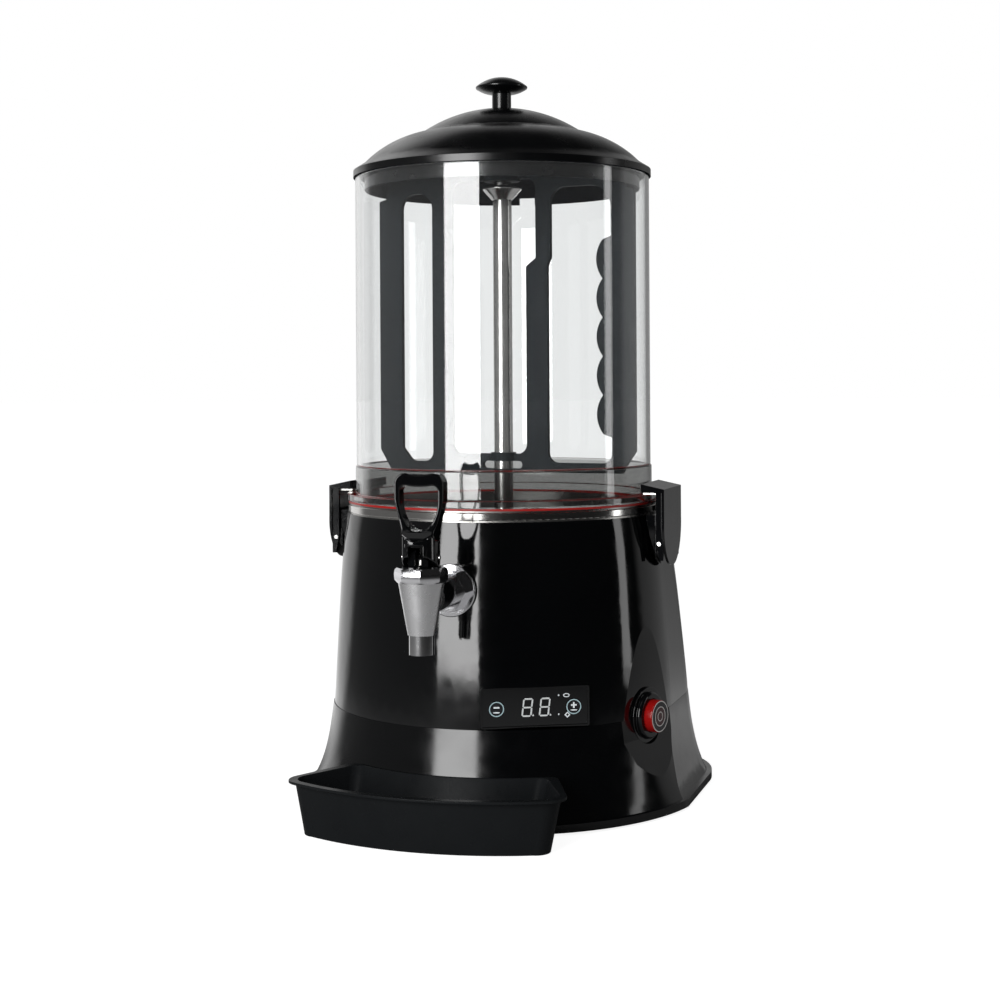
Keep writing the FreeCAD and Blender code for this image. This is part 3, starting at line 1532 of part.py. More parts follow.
def valve_spring():
    """Coil spring between the rubber cup and the valve cap."""
    body = tap_frame("valve_spring")
    wire = z.spring_wire_radius
    low = z.chamber_floor + z.cup_gap + z.cup_height + wire + 0.1
    high = z.cone_top - z.cap_plug_depth - wire - 0.1
    sketch = draw_circle(sketch_on(body, "XZ_Plane"), wire, z.spring_coil_radius, low)
    coil = body.newObject("PartDesign::AdditiveHelix", "valve_spring_coil")
    coil.Profile = sketch
    coil.ReferenceAxis = (sketch, ["V_Axis"])
    coil.Mode = "height-turns-angle"
    coil.Height = (high - low).value
    coil.Turns = z.spring_turns.value
    coil.setExpression("Height", (high - low).text)
    coil.setExpression("Turns", z.spring_turns.text)
    body.Tip = coil
    return node(body)


# ------------------------------------------------------------------------------- side latches

def tongue_outline(half_width, top, low, inset=0.0):
    """Latch plate seen from the side: straight above, curving in to a rounded lower end."""
    half_width = half_width - inset
    low = low + inset
    taper = z.latch_taper_level
    return [
        (-half_width, top),
        (half_width, top),
        (half_width, taper),
        (half_width * 0.36, low + 2, half_width * 0.86, low + 16),
        (-half_width * 0.36, low + 2, 0.0, low),
        (-half_width, taper, -half_width * 0.86, low + 16),
    ]


def side_prism(body, side, outline, inner, outer, cut=False):
    """Pad an outline in the YZ plane between two distances from the middle, on one side."""
    start = as_size(inner) if side > 0 else -as_size(outer)
    sketch = draw(sketch_on(body, "YZ_Plane", start), outline)
    return raise_profile(body, sketch, as_size(outer) - inner, cut)


def cross_plate(body, side, outline, low, high, cut=False):
    """Pad an outline in the XZ plane, given for the right side, between two Y distances."""
    corners = [tuple(value * side if index % 2 == 0 else value for index, value in enumerate(corner))
               for corner in outline]
    sketch = draw(sketch_on(body, "XZ_Plane", -as_size(high)), corners)
    return raise_profile(body, sketch, as_size(high) - low, cut)


def latch_pin_hole(body, side, radius, half_length):
    """A hole along the latch's pivot."""
    sketch = draw_circle(sketch_on(body, "XZ_Plane"), radius, side * z.latch_pivot_x, z.latch_pivot_level)
    return raise_profile(body, sketch, half_length * 2, cut=True, midplane=True)


def latch_screw_discs(body, side, radius, inner, outer):
    """Pads along X for the two screws that hold a latch base."""
    start = as_size(inner) if side > 0 else -as_size(outer)
    sketch = sketch_on(body, "YZ_Plane", start)
    for sign in (-1, 1):
        draw_circle(sketch, radius, sign * z.latch_screw_spread, z.latch_screw_level)
    return raise_profile(body, sketch, as_size(outer) - inner)


def latch_base(name, side, shell_outer):
    """Plate screwed to the upper shell, with two ears for the pivot pin."""
    label = "latch_base_" + name
    plate_form = new_body(label + "_plate")
    outline = tongue_outline(z.latch_base_half_width, z.shell_top, z.latch_low, 1.0)
    side_prism(plate_form, side, outline, z.shell_top_radius - 8, z.latch_base_face)
    trimmed = cut_from(label + "_trimmed", plate_form, [shell_outer])
    ears = new_body(label + "_ears")
    tip, level = z.latch_pivot_x + z.latch_ear_reach, z.latch_pivot_level
    root = z.latch_base_face - 1
    ear = [(root, level - 8), (tip, level - 1.2), (tip, level + 1.2), (root, level + 8)]
    outer = z.latch_base_half_width - 0.4
    for low, high in ((outer - z.latch_ear_thickness, outer), (-outer, z.latch_ear_thickness - outer)):
        cross_plate(ears, side, ear, low, high)
    whole = fused(label + "_whole", [trimmed, ears])
    holes = new_body(label + "_holes")
    sketch = draw_circle(sketch_on(holes, "XZ_Plane"), z.latch_pin_radius, side * z.latch_pivot_x, level)
    raise_profile(holes, sketch, z.latch_half_width * 2, midplane=True)
    latch_screw_discs(holes, side, z.latch_screw_radius + z.slip_fit, z.latch_screw_end,
                      z.latch_base_face + 1)
    return node(cut_from(label, whole, [holes]))


def latch_pins():
    body = new_body("latch_pins")
    for side in LATCH_SIDES.values():
        sketch = sketch_on(body, "XZ_Plane")
        draw_circle(sketch, z.latch_pin_radius, side * z.latch_pivot_x, z.latch_pivot_level)
        raise_profile(body, sketch, (z.latch_web_outside + 0.8) * 2, midplane=True)
    return node(body)


def latch_screws():
    body = new_body("latch_screws")
    for side in LATCH_SIDES.values():
        latch_screw_discs(body, side, z.latch_screw_radius, z.latch_screw_end, z.latch_base_face)
        latch_screw_discs(body, side, z.latch_screw_head_radius, z.latch_base_face,
                          z.latch_base_face + z.latch_screw_head)
    return node(body)


def latch(name, side):
    """Cover that turns on the pins: an outer tongue, two webs and a sloping top over the flange."""
    body = new_body("latch_" + name)
    outside, plate_inside = z.latch_outside, z.latch_outside - z.latch_plate
    under = FLANGE_TOP + z.part_gap + z.hook_thickness
    top = under + z.latch_lip_thickness
    half = z.latch_half_width
    side_prism(body, side, tongue_outline(half, under + 1, z.latch_low), plate_inside, outside)
    cap = [(z.latch_lip, under), (z.latch_lip, top), (outside, top - z.latch_slope), (outside, under)]
    cross_plate(body, side, cap, -half, half)
    pivot = z.latch_pivot_level
    web = [
        (z.latch_web_inside_x, under), (z.latch_web_inside_x, pivot),
        (z.latch_pivot_x + 0.6, z.latch_web_low), (plate_inside + 0.5, z.latch_web_low),
        (plate_inside + 0.5, under)]
    edge = z.latch_web_outside
    for low, high in ((edge - z.latch_web_thickness, edge), (-edge, z.latch_web_thickness - edge)):
        cross_plate(body, side, web, low, high)
    latch_pin_hole(body, side, z.latch_pin_radius + z.shaft_running_gap, half)
    return node(body)


def latch_hook(name, side):
    """Steel strip under the latch's top, which bears on the jar's flange."""
    body = new_body("latch_hook_" + name)
    low = FLANGE_TOP + z.part_gap
    high = low + z.hook_thickness
    inside = z.latch_outside - z.latch_plate
    strip = [(z.latch_lip + 0.5, low), (inside, low), (inside, high), (z.latch_lip + 0.5, high)]
    cross_plate(body, side, strip, z.latch_web_thickness - z.latch_web_outside + z.part_gap,
                z.latch_web_outside - z.latch_web_thickness - z.part_gap)
    return node(body)


# ------------------------------------------------------------------------------------- the lid

def crown_through(rise, span):
    """Radius and fall at half the span of an arc that starts level and falls by rise."""
    radius = (span * span + rise * rise) / (rise * 2)
    return span / 2, radius - square_root(radius * radius - span * span / 4)


def lid_shell():
    """Two-step dome with a rim on the jar and a skirt inside it, with a vent notch at the back."""
    body = new_body("lid_shell")
    wall, bore = z.lid_wall, z.knob_screw_radius + z.slip_fit
    rim_low = z.jar_top + z.part_gap
    rise = z.lid_crown_level - z.lid_step_level
    middle, fall = crown_through(rise, z.lid_step_radius)
    shoulder_x = (z.lid_step_radius + z.lid_shoulder_radius) / 2
    shoulder_z = (z.lid_step_level + z.lid_shoulder_level) / 2 + 4.6
    inside = z.lid_skirt_radius - wall
    turned(body, [
        (bore, z.lid_crown_level),
        (z.lid_step_radius, z.lid_step_level, middle, z.lid_crown_level - fall),
        (z.lid_shoulder_radius, z.lid_shoulder_level, shoulder_x, shoulder_z),
        (z.lid_rim_radius, rim_low + z.lid_rim_height),
        (z.lid_rim_radius, rim_low),
        (z.lid_skirt_radius, rim_low),
        (z.lid_skirt_radius, z.lid_skirt_level),
        (inside, z.lid_skirt_level),
        (inside, z.lid_shoulder_level - wall),
        (z.lid_step_radius, z.lid_step_level - wall, shoulder_x - 1, shoulder_z - wall),
        (bore, z.lid_crown_level - wall, middle, z.lid_crown_level - fall - wall)])
    start, offset, vent = z.lid_skirt_radius - 10, z.lid_vent_offset, z.lid_vent_half_width
    notch = rectangle(-offset - vent, vent - offset, start, z.lid_skirt_radius + 4)
    prism(body, notch, z.lid_skirt_level, z.lid_skirt_level + z.lid_vent_height, cut=True)
    return node(body)


def lid_knob():
    body = new_body("lid_knob")
    low, edge = z.lid_crown_level + z.slip_fit, z.knob_edge_level
    middle, fall = crown_through(z.knob_top - edge - z.knob_edge_height / 2, z.knob_radius)
    bore, bore_top = z.knob_screw_radius + z.slip_fit, low + z.knob_screw_length - 6
    turned(body, [
        (bore, low),
        (z.knob_stem_radius, low),
        (z.knob_stem_radius, z.knob_under_level),
        (z.knob_radius - 1, edge - z.knob_edge_height / 2, z.knob_radius * 0.72, z.knob_under_level + 1.4),
        (z.knob_radius, edge + z.knob_edge_height / 2, z.knob_radius + 0.1, edge),
        (0.0, z.knob_top, middle, z.knob_top - fall),
        (0.0, bore_top),
        (bore, bore_top)])
    return node(body)


def knob_screw():
    body = new_body("knob_screw")
    under = z.lid_crown_level - z.lid_wall - z.part_gap
    disc(body, z.knob_screw_head_radius, under - z.knob_screw_head, under)
    disc(body, z.knob_screw_radius, under, z.lid_crown_level + z.knob_screw_length - 7)
    return node(body)


# ---------------------------------------------------------------------------------- the paddle

def right_window():
    """The window with the row of scallops on its outer side."""
    inside, offset, outside = z.right_window_inside, z.right_window_offset, z.right_window_outside
    valley, peak, half = z.scallop_valley, z.scallop_peak, z.scallop_pitch / 2
    corners = [
        (inside, z.step_low),
        (inside, z.window_low),
        (outside, z.window_low),
        (outside, z.scallop_first - half - 3),
        (valley, z.scallop_first - half),
    ]
    for index in range(SCALLOPS):
        middle = z.scallop_first + z.scallop_pitch * index
        corners.append((valley, middle + half, peak, middle))
    last = z.scallop_first + z.scallop_pitch * (SCALLOPS - 0.5)
    corners += [
        (outside, last + 3),
        (outside, z.window_high),
        (inside + offset, z.window_high),
        (inside + offset, z.step_high),
    ]
    return corners


def paddle():
    """Flat frame with three windows, turned slightly about the jar's axis."""
    body = new_body("paddle", rotation=Rotation(Vector(0, 0, 1), -z.paddle_turn.value))
    half, top_half, low, high = z.paddle_half_width, z.paddle_top_half_width, z.paddle_low, z.paddle_high
    chamfer, shoulder = z.paddle_chamfer, z.paddle_shoulder_level
    outline = [
        (chamfer - half, low), (half - chamfer, low), (half, low + chamfer * 1.6), (half, shoulder),
        (top_half, shoulder + 2), (top_half, high), (-top_half, high), (-top_half, shoulder + 2),
        (-half, shoulder), (-half, low + chamfer * 1.6)]
    left = [
        (-z.left_window_outside, z.window_low + chamfer),
        (chamfer * 0.8 - z.left_window_outside, z.window_low),
        (-z.left_window_inside, z.window_low), (-z.left_window_inside, z.window_high),
        (-z.left_window_outside, z.window_high)]
    right, offset = z.centre_window_right, z.step_offset
    centre = [
        (-z.centre_window_left, z.centre_window_low), (right, z.centre_window_low), (right, z.step_low),
        (right + offset, z.step_high), (right + offset, z.centre_window_high),
        (-z.centre_window_left, z.centre_window_high)]
    slot_half, slot_low, slot_high = z.guide_slot_half_width, z.guide_slot_low, z.guide_slot_high
    slot_round = (slot_high - slot_low) / 2
    slot_middle = (slot_high + slot_low) / 2
    slot = [
        (slot_round - slot_half, slot_low), (slot_half - slot_round, slot_low),
        (slot_half - slot_round, slot_high, slot_half, slot_middle),
        (slot_round - slot_half, slot_high)]
    slot[0] = (slot_round - slot_half, slot_low, -slot_half, slot_middle)
    plate(body, [outline, left, centre, right_window()], z.paddle_thickness)
    across = Vector(0, 1, 0)
    corner_levels = (z.window_low.value, z.window_high.value,
                     z.centre_window_low.value, z.centre_window_high.value)
    rounded(body, z.window_round, lambda edge: runs_along(edge, across)
            and min(abs(edge.CenterOfMass.z - level) for level in corner_levels) < 0.01
            and abs(edge.CenterOfMass.x) < z.left_window_outside.value + 5)
    disc(body, z.guide_radius, z.paddle_low, z.centre_window_low + 1)
    slot_sketch = draw(sketch_on(body, "XZ_Plane"), slot)
    raise_profile(body, slot_sketch, z.guide_radius * 2 + 4, cut=True, midplane=True)
    disc(body, z.tube_radius + z.guide_running_gap, z.paddle_low, z.centre_window_low + 1, cut=True)
    disc(body, z.hub_radius + z.hub_fit, z.centre_window_high, high, cut=True)
    return node(body)


def paddle_hub():
    """Closed hub on the shaft's upper end, which carries the paddle's top bar."""
    body = new_body("paddle_hub")
    bore, stop = z.shaft_radius + z.hub_fit, z.shaft_top + z.hub_fit
    turned(body, [
        (bore, z.hub_low), (z.hub_radius, z.hub_low), (z.hub_radius, z.paddle_high + 2),
        (z.hub_cap_radius, z.hub_high), (z.hub_cap_radius - 1.5, z.hub_high + z.hub_cap_height),
        (0.0, z.hub_high + z.hub_cap_height), (0.0, stop), (bore, stop)])
    return node(body)


# ------------------------------------------------------------------------------- the drip tray

def between(start, end, share):
    """The point at a share of the way from one point to another."""
    return tuple(first + (second - first) * share for first, second in zip(start, end))


def rounding(corner, before, after, share):
    """The middle of the arc that rounds a corner off between two points on its sides."""
    return between(corner, between(before, after, 0.5), share)


def mirrored(*points):
    """Outline numbers with every X reversed."""
    return tuple(-value if index % 2 == 0 else value for index, value in enumerate(sum(points, ())))


def tray_section(level_share, inset, back_inset):
    """Plan outline of the tub at a share of its height, 0 at the floor and 1 at the rim."""
    draft = 1 - level_share
    front = TRAY_FRONT - z.tray_front_draft * draft - inset
    back = TRAY_BACK + z.tray_back_draft * draft + back_inset
    front_half = z.tray_front_half_width - z.tray_side_draft * draft - inset
    back_half = z.tray_back_half_width - z.tray_side_draft * draft * 0.5 - inset
    front_turn, back_turn = front_half - z.tray_front_corner, back_half - z.tray_back_corner
    front_corner, back_corner = (front_half, -chord(front, front_half)), (back_half, -chord(back, back_half))
    front_side = between(front_corner, back_corner, z.tray_front_share)
    back_side = between(back_corner, front_corner, z.tray_back_share)
    front_end, back_end = (front_turn, -chord(front, front_turn)), (back_turn, -chord(back, back_turn))
    front_via = rounding(front_corner, front_side, front_end, 0.56)
    back_via = rounding(back_corner, back_side, back_end, 0.64)
    return [
        mirrored(back_side),
        mirrored(back_end, back_via),
        back_end + (0.0, -back),
        back_side + back_via,
        front_side,
        front_end + front_via,
        mirrored(front_end) + (0.0, -front),
        mirrored(front_side, front_via),
    ]


def drip_tray():
    """Open tub whose back follows the skirt, with a narrow lip round its rim."""
    low, high, wall = z.tray_level, z.tray_level + z.tray_height, z.tray_wall
    turn = Rotation(Vector(0, 0, 1), -z.tray_turn.value)
    tub = new_body("tray_tub", rotation=turn)
    lofted(tub, [(low, tray_section(0, 0.0, 0.0)), (high, tray_section(1, 0.0, 0.0))], ruled=True)
    lip = new_body("tray_lip_form", rotation=turn)
    prism(lip, tray_section(1, -z.tray_lip, 0.0), high - z.tray_lip_thickness, high)
    hollow = new_body("tray_hollow", rotation=turn)
    share, over = z.tray_floor / z.tray_height, wall / z.tray_height + 1
    lofted(hollow, [(low + z.tray_floor, tray_section(share, wall, wall)),
                    (high + wall, tray_section(over, wall, wall))], ruled=True)
    return node(cut_from("drip_tray", fused("tray_whole", [tub, lip]), [hollow]))


# ------------------------------------------------------------------------------------ assembly

def build():
    """Build every piece."""
    skirt_outer = skirt_form("skirt_outer", 0.0)
    shell_outer = shell_form("shell_outer", 0.0)
    base_plate()
    rubber_feet()
    base_screws()
    lower_skirt(skirt_outer)
    upper_shell(shell_outer)
    water_tank()
    rim_band()
    product_bowl()
    jar_gasket()
    jar()
    centre_tube()
    tube_nuts()
    tube_collar()
    shaft_bushes()
    drive_shaft()
    drive_coupling()
    gearbox_shaft()
    gear_motor()
    motor_bracket()
    heating_element()
    safety_thermostat()
    temperature_probe()
    terminal_block()
    cord_inlet(skirt_outer)
    inlet_pins()
    display_bezel()
    display_window()
    display_button("down_button", -1)
    display_button("up_button", 1)
    led_display()
    control_board()
    switch_body()
    switch_nut()
    power_button()
    tap_flange(shell_outer)
    tap_nut()
    tap_shank()
    shank_locknut()
    tap_body()
    tap_bonnet()
    valve_cap()
    lever_pins()
    tap_lever()
    valve_stem()
    seat_cup()
    valve_spring()
    for name, side in LATCH_SIDES.items():
        latch_base(name, side, shell_outer)
        latch(name, side)
        latch_hook(name, side)
    latch_pins()
    latch_screws()
    lid_shell()
    lid_knob()
    knob_screw()
    paddle()
    paddle_hub()
    drip_tray()


def check():
    """Stop if any object failed or any piece is empty or invalid."""
    faults = []
    for thing in doc.Objects:
        if any(word in thing.State for word in ("Invalid", "Error")):
            faults.append(f"{thing.Name}: {thing.State}")
    for thing in NODES:
        if thing.Shape.isNull() or not thing.Shape.isValid() or not thing.Shape.Solids:
            faults.append(f"{thing.Label}: bad shape")
    if faults:
        raise RuntimeError("; ".join(faults))


def export():
    """Write each piece to its own STEP file."""
    os.makedirs("parts", exist_ok=True)
    for thing in NODES:
        thing.Shape.exportStep(os.path.join("parts", thing.Label + ".step"))
        print(f"{thing.Label}: {len(thing.Shape.Solids)} solid(s), {thing.Shape.Volume / 1000:.2f} cm3")


build()
doc.recompute()
check()
export()
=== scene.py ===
import json
import math

import bmesh
import bpy
from mathutils import Matrix, Vector


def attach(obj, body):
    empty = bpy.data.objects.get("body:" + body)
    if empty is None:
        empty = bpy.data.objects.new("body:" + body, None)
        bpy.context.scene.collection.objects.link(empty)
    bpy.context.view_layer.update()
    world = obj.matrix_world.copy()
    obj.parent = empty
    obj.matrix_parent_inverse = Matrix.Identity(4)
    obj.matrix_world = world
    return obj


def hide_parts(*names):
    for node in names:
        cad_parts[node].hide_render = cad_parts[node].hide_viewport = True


# Looks of a hot chocolate dispenser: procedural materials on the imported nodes, finer pieces in
# place of the plain ones, and a plain pale studio.  Shapes are written in millimetres and turned
# into metres by MM.  Places in the materials and in the studio are in metres.

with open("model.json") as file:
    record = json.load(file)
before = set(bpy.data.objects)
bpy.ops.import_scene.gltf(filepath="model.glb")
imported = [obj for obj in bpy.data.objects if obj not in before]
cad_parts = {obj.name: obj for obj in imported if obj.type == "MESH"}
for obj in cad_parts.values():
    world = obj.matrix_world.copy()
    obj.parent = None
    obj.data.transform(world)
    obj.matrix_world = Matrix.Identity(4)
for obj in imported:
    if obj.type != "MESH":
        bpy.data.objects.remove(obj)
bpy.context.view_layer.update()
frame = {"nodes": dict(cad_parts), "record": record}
NODES = frame["nodes"]
RECORD = frame["record"]
BODY_OF = {node: body for body, nodes in RECORD["behaviour"]["bodies"].items() for node in nodes}
SLOT_OF = {entry["node"]: entry["material_slot"] for entry in RECORD["subparts"]}

MM = 0.001
AXIS_Y = 32.75
TAP_Y = -165.25
SKIN = 0.08


# ------------------------------------------------------------------------------------ materials

class Graph:
    """A node tree of a material, or of the world, with short ways to add and join nodes."""

    def __init__(self, name, world=None):
        self.material = world or bpy.data.materials.new(name)
        self.material.use_nodes = True
        self.tree = self.material.node_tree
        self.shader = self.tree.nodes["Background" if world else "Principled BSDF"]
        self.output = self.tree.nodes["World Output" if world else "Material Output"]

    def put(self, socket, value):
        """Link a socket or set its value."""
        if isinstance(value, bpy.types.NodeSocket):
            self.tree.links.new(value, socket)
        else:
            socket.default_value = value

    def add(self, kind, settings=None, **sockets):
        """A node with its settings and its input sockets given by name."""
        node = self.tree.nodes.new("ShaderNode" + kind)
        for key, value in (settings or {}).items():
            setattr(node, key, value)
        for key, value in sockets.items():
            self.put(node.inputs[key.replace("_", " ")], value)
        return node

    def set(self, **sockets):
        """Set the shader's sockets by name."""
        for key, value in sockets.items():
            self.put(self.shader.inputs[key.replace("_", " ")], value)
        return self

    def source_of(self, name):
        """What one of the shader's sockets is linked to."""
        return self.shader.inputs[name].links[0].from_socket

    def reckon(self, operation, *values):
        """The result of a sum on values."""
        node = self.add("Math", {"operation": operation})
        for socket, value in zip(node.inputs, values):
            self.put(socket, value)
        return node.outputs[0]

    def times(self, first, second):
        """The product of two values."""
        return self.reckon("MULTIPLY", first, second)

    def plus(self, first, second):
        """The sum of two values."""
        return self.reckon("ADD", first, second)

    def rest(self, value):
        """One less a value."""
        return self.reckon("SUBTRACT", 1.0, value)

    def vector(self, operation, source):
        """A sum on a vector."""
        node = self.add("VectorMath", {"operation": operation})
        self.put(node.inputs[0], source)
        return node

    def along(self, direction, source="Generated"):
        """How far a coordinate, or a vector, reaches along a direction."""
        if isinstance(source, str):
            source = self.add("TexCoord").outputs[source]
        node = self.vector("DOT_PRODUCT", source)
        self.put(node.inputs[1], direction)
        return node.outputs["Value"]

    def rise(self, value, start, end, low=0.0, high=1.0):
        """A soft step from low to high between start and end."""
        return self.add("MapRange", {"interpolation_type": "SMOOTHSTEP"}, Value=value, From_Min=start,
                        From_Max=end, To_Min=low, To_Max=high).outputs["Result"]

    def span(self, value, low, high):
        """The middle of a noise value's range spread over low to high."""
        return self.add("MapRange", Value=value, From_Min=0.3, From_Max=0.7,
                        To_Min=low, To_Max=high).outputs["Result"]

    def sight(self):
        """One for what the camera sees straight or through clear pieces, else nought."""
        path = self.add("LightPath").outputs
        mirrored = self.times(path["Glossy Depth"], 0.75)
        bounced = self.reckon("MINIMUM", self.plus(path["Diffuse Depth"], mirrored), 1.0)
        through = self.times(path["Is Transmission Ray"], self.rest(bounced))
        return self.reckon("MAXIMUM", path["Is Camera Ray"], through)

    def mirror(self):
        """One for what is seen in a gloss, else nought."""
        return self.reckon("MINIMUM", self.add("LightPath").outputs["Glossy Depth"], 1.0)

    def noise(self, scale, detail=3.0, stretch=(1, 1, 1)):
        """A noise value over the object's own place."""
        where = self.add("Mapping", Vector=self.add("TexCoord").outputs["Object"], Scale=stretch)
        return self.add("TexNoise", Vector=where.outputs["Vector"], Scale=scale, Detail=detail).outputs["Fac"]

    def blend(self, share, first, second):
        """A mix of two colours."""
        node = self.add("Mix", {"data_type": "RGBA"})
        self.put(node.inputs[0], share)
        for socket, colour in ((node.inputs[6], first), (node.inputs[7], second)):
            self.put(socket, colour if isinstance(colour, bpy.types.NodeSocket) else (*colour, 1.0))
        return node.outputs[2]

    def bump(self, height, depth, below=None):
        """A bump normal from a height, in millimetres of depth."""
        node = self.add("Bump", Height=height, Distance=depth * MM, Strength=1.0)
        if below is not None:
            self.put(node.inputs["Normal"], below)
        return node.outputs["Normal"]

    def draft(self, slope):
        """Lean every wall's shine a little to the left, as the draft of a mould does."""
        height = self.times(self.along((-1, 0, 0), "Object"), slope)
        node = self.add("Bump", Height=height, Distance=1.0, Strength=1.0, Normal=self.source_of("Normal"))
        return self.set(Normal=node.outputs["Normal"])


def shade(colour, factor):
    """A colour made lighter or darker."""
    return tuple(min(1.0, channel * factor) for channel in colour)


def plastic(name, colour, roughness, grain=0.5, relief=0.01, spread=0.25, wave=0.0, ior=1.5):
    """Moulded plastic: faint mottling, uneven gloss, a fine grain and a slow waviness.

    The grain's size, its relief and the wave's depth are in millimetres.
    """
    graph = Graph(name)
    broad = graph.noise(14.0, 4.0)
    smudge = graph.noise(60.0, 6.0)
    graph.set(Base_Color=graph.blend(broad, shade(colour, 0.8), shade(colour, 1.25)),
              Roughness=graph.span(smudge, roughness * (1 - spread), roughness * (1 + spread)))
    normal = graph.bump(graph.noise(1 / (grain * MM), 2.0), relief)
    if wave:
        normal = graph.bump(graph.noise(22.0, 1.0), wave, below=normal)
    return graph.set(Normal=normal, IOR=ior)


def lid_plastic():
    """The lid's fine-grained plastic, matt on its underside."""
    graph = plastic("textured_lid", (0.0015, 0.0017, 0.002), 0.23, grain=0.55, relief=0.03, spread=5 / 23)
    up = graph.along((0, 0, 1), graph.add("NewGeometry").outputs["Normal"])
    matt = graph.times(graph.rise(up, -0.4, -0.1, 1.0, 0.0), 0.5)
    return graph.set(Roughness=graph.plus(graph.source_of("Roughness"), matt))


def rubber(name, colour, roughness):
    """Matt rubber with a fine powdery grain."""
    return plastic(name, colour, roughness, grain=0.4, relief=0.02, ior=1.45)


def steel(name, colour, roughness, stretch, relief=0.006):
    """Brushed metal: fine streaks along one direction."""
    graph = Graph(name)
    streak = graph.noise(1.0, 5.0, stretch)
    patch = graph.noise(25.0, 3.0)
    graph.set(Base_Color=graph.blend(streak, shade(colour, 0.86), shade(colour, 1.1)), Metallic=1.0,
              Roughness=graph.span(patch, roughness * 0.7, roughness * 1.3))
    return graph.set(Normal=graph.bump(streak, relief))


def chrome(name, colour, smoothest, roughest):
    """Plated metal: almost a mirror, with faint casting waves and wiped marks."""
    graph = Graph(name)
    wiped = graph.noise(90.0, 6.0)
    graph.set(Base_Color=graph.blend(wiped, shade(colour, 0.92), shade(colour, 1.06)), Metallic=1.0,
              Roughness=graph.span(wiped, smoothest, roughest))
    return graph.set(Normal=graph.bump(graph.noise(120.0, 2.0), 0.02))


def tap_metal():
    """Plated metal, satin on the tap's cone and polished elsewhere."""
    graph = chrome("tap_plate", (0.7, 0.7, 0.71), 0.045, 0.11)
    before_shank = graph.rise(graph.along((0, -1, 0), "Object"), 0.1475, 0.1485)
    above_spout = graph.rise(graph.along((0, 0, 1), "Object"), 0.1519, 0.1523)
    satin = graph.times(graph.times(before_shank, above_spout), 0.2)
    return graph.set(Roughness=graph.plus(satin, graph.source_of("Roughness")))


def clear(name, tint, foot, roughness):
    """Clear moulded plastic that lets light through to what it covers, smokier in its thick foot."""
    graph = Graph(name)
    scratch = graph.noise(1.0, 4.0, (60, 60, 900))
    above_foot = graph.rise(graph.along((0, 0, 1), "Object"), 0.262, 0.2645)
    plain = graph.blend(graph.noise(9.0), tint, shade(tint, 0.985))
    graph.set(Base_Color=graph.blend(above_foot, foot, plain), Transmission_Weight=1.0,
              Roughness=graph.span(scratch, roughness * 0.5, roughness * 1.5), IOR=1.55,
              Normal=graph.bump(graph.noise(30.0, 1.0), 0.012))
    mixed = graph.add("MixShader")
    graph.put(mixed.inputs[0], graph.add("LightPath").outputs["Is Shadow Ray"])
    graph.put(mixed.inputs[1], graph.shader.outputs[0])
    graph.put(mixed.inputs[2], graph.add("BsdfTransparent", Color=(0.93, 0.94, 0.94, 1.0)).outputs[0])
    graph.put(graph.output.inputs["Surface"], mixed.outputs[0])
    return graph


def glowing(name, colour, strength):
    """A pale sign, slightly uneven, with a faint emission: the light of the display's lit digits and signs,
    and a painted glow on the buttons' printed signs and rims and the power button's rings.
    """
    graph = Graph(name)
    tone = graph.blend(graph.noise(900.0, 2.0), shade(colour, 0.85), shade(colour, 1.1))
    return graph.set(Base_Color=tone, Emission_Color=tone, Emission_Strength=strength, Roughness=0.4)


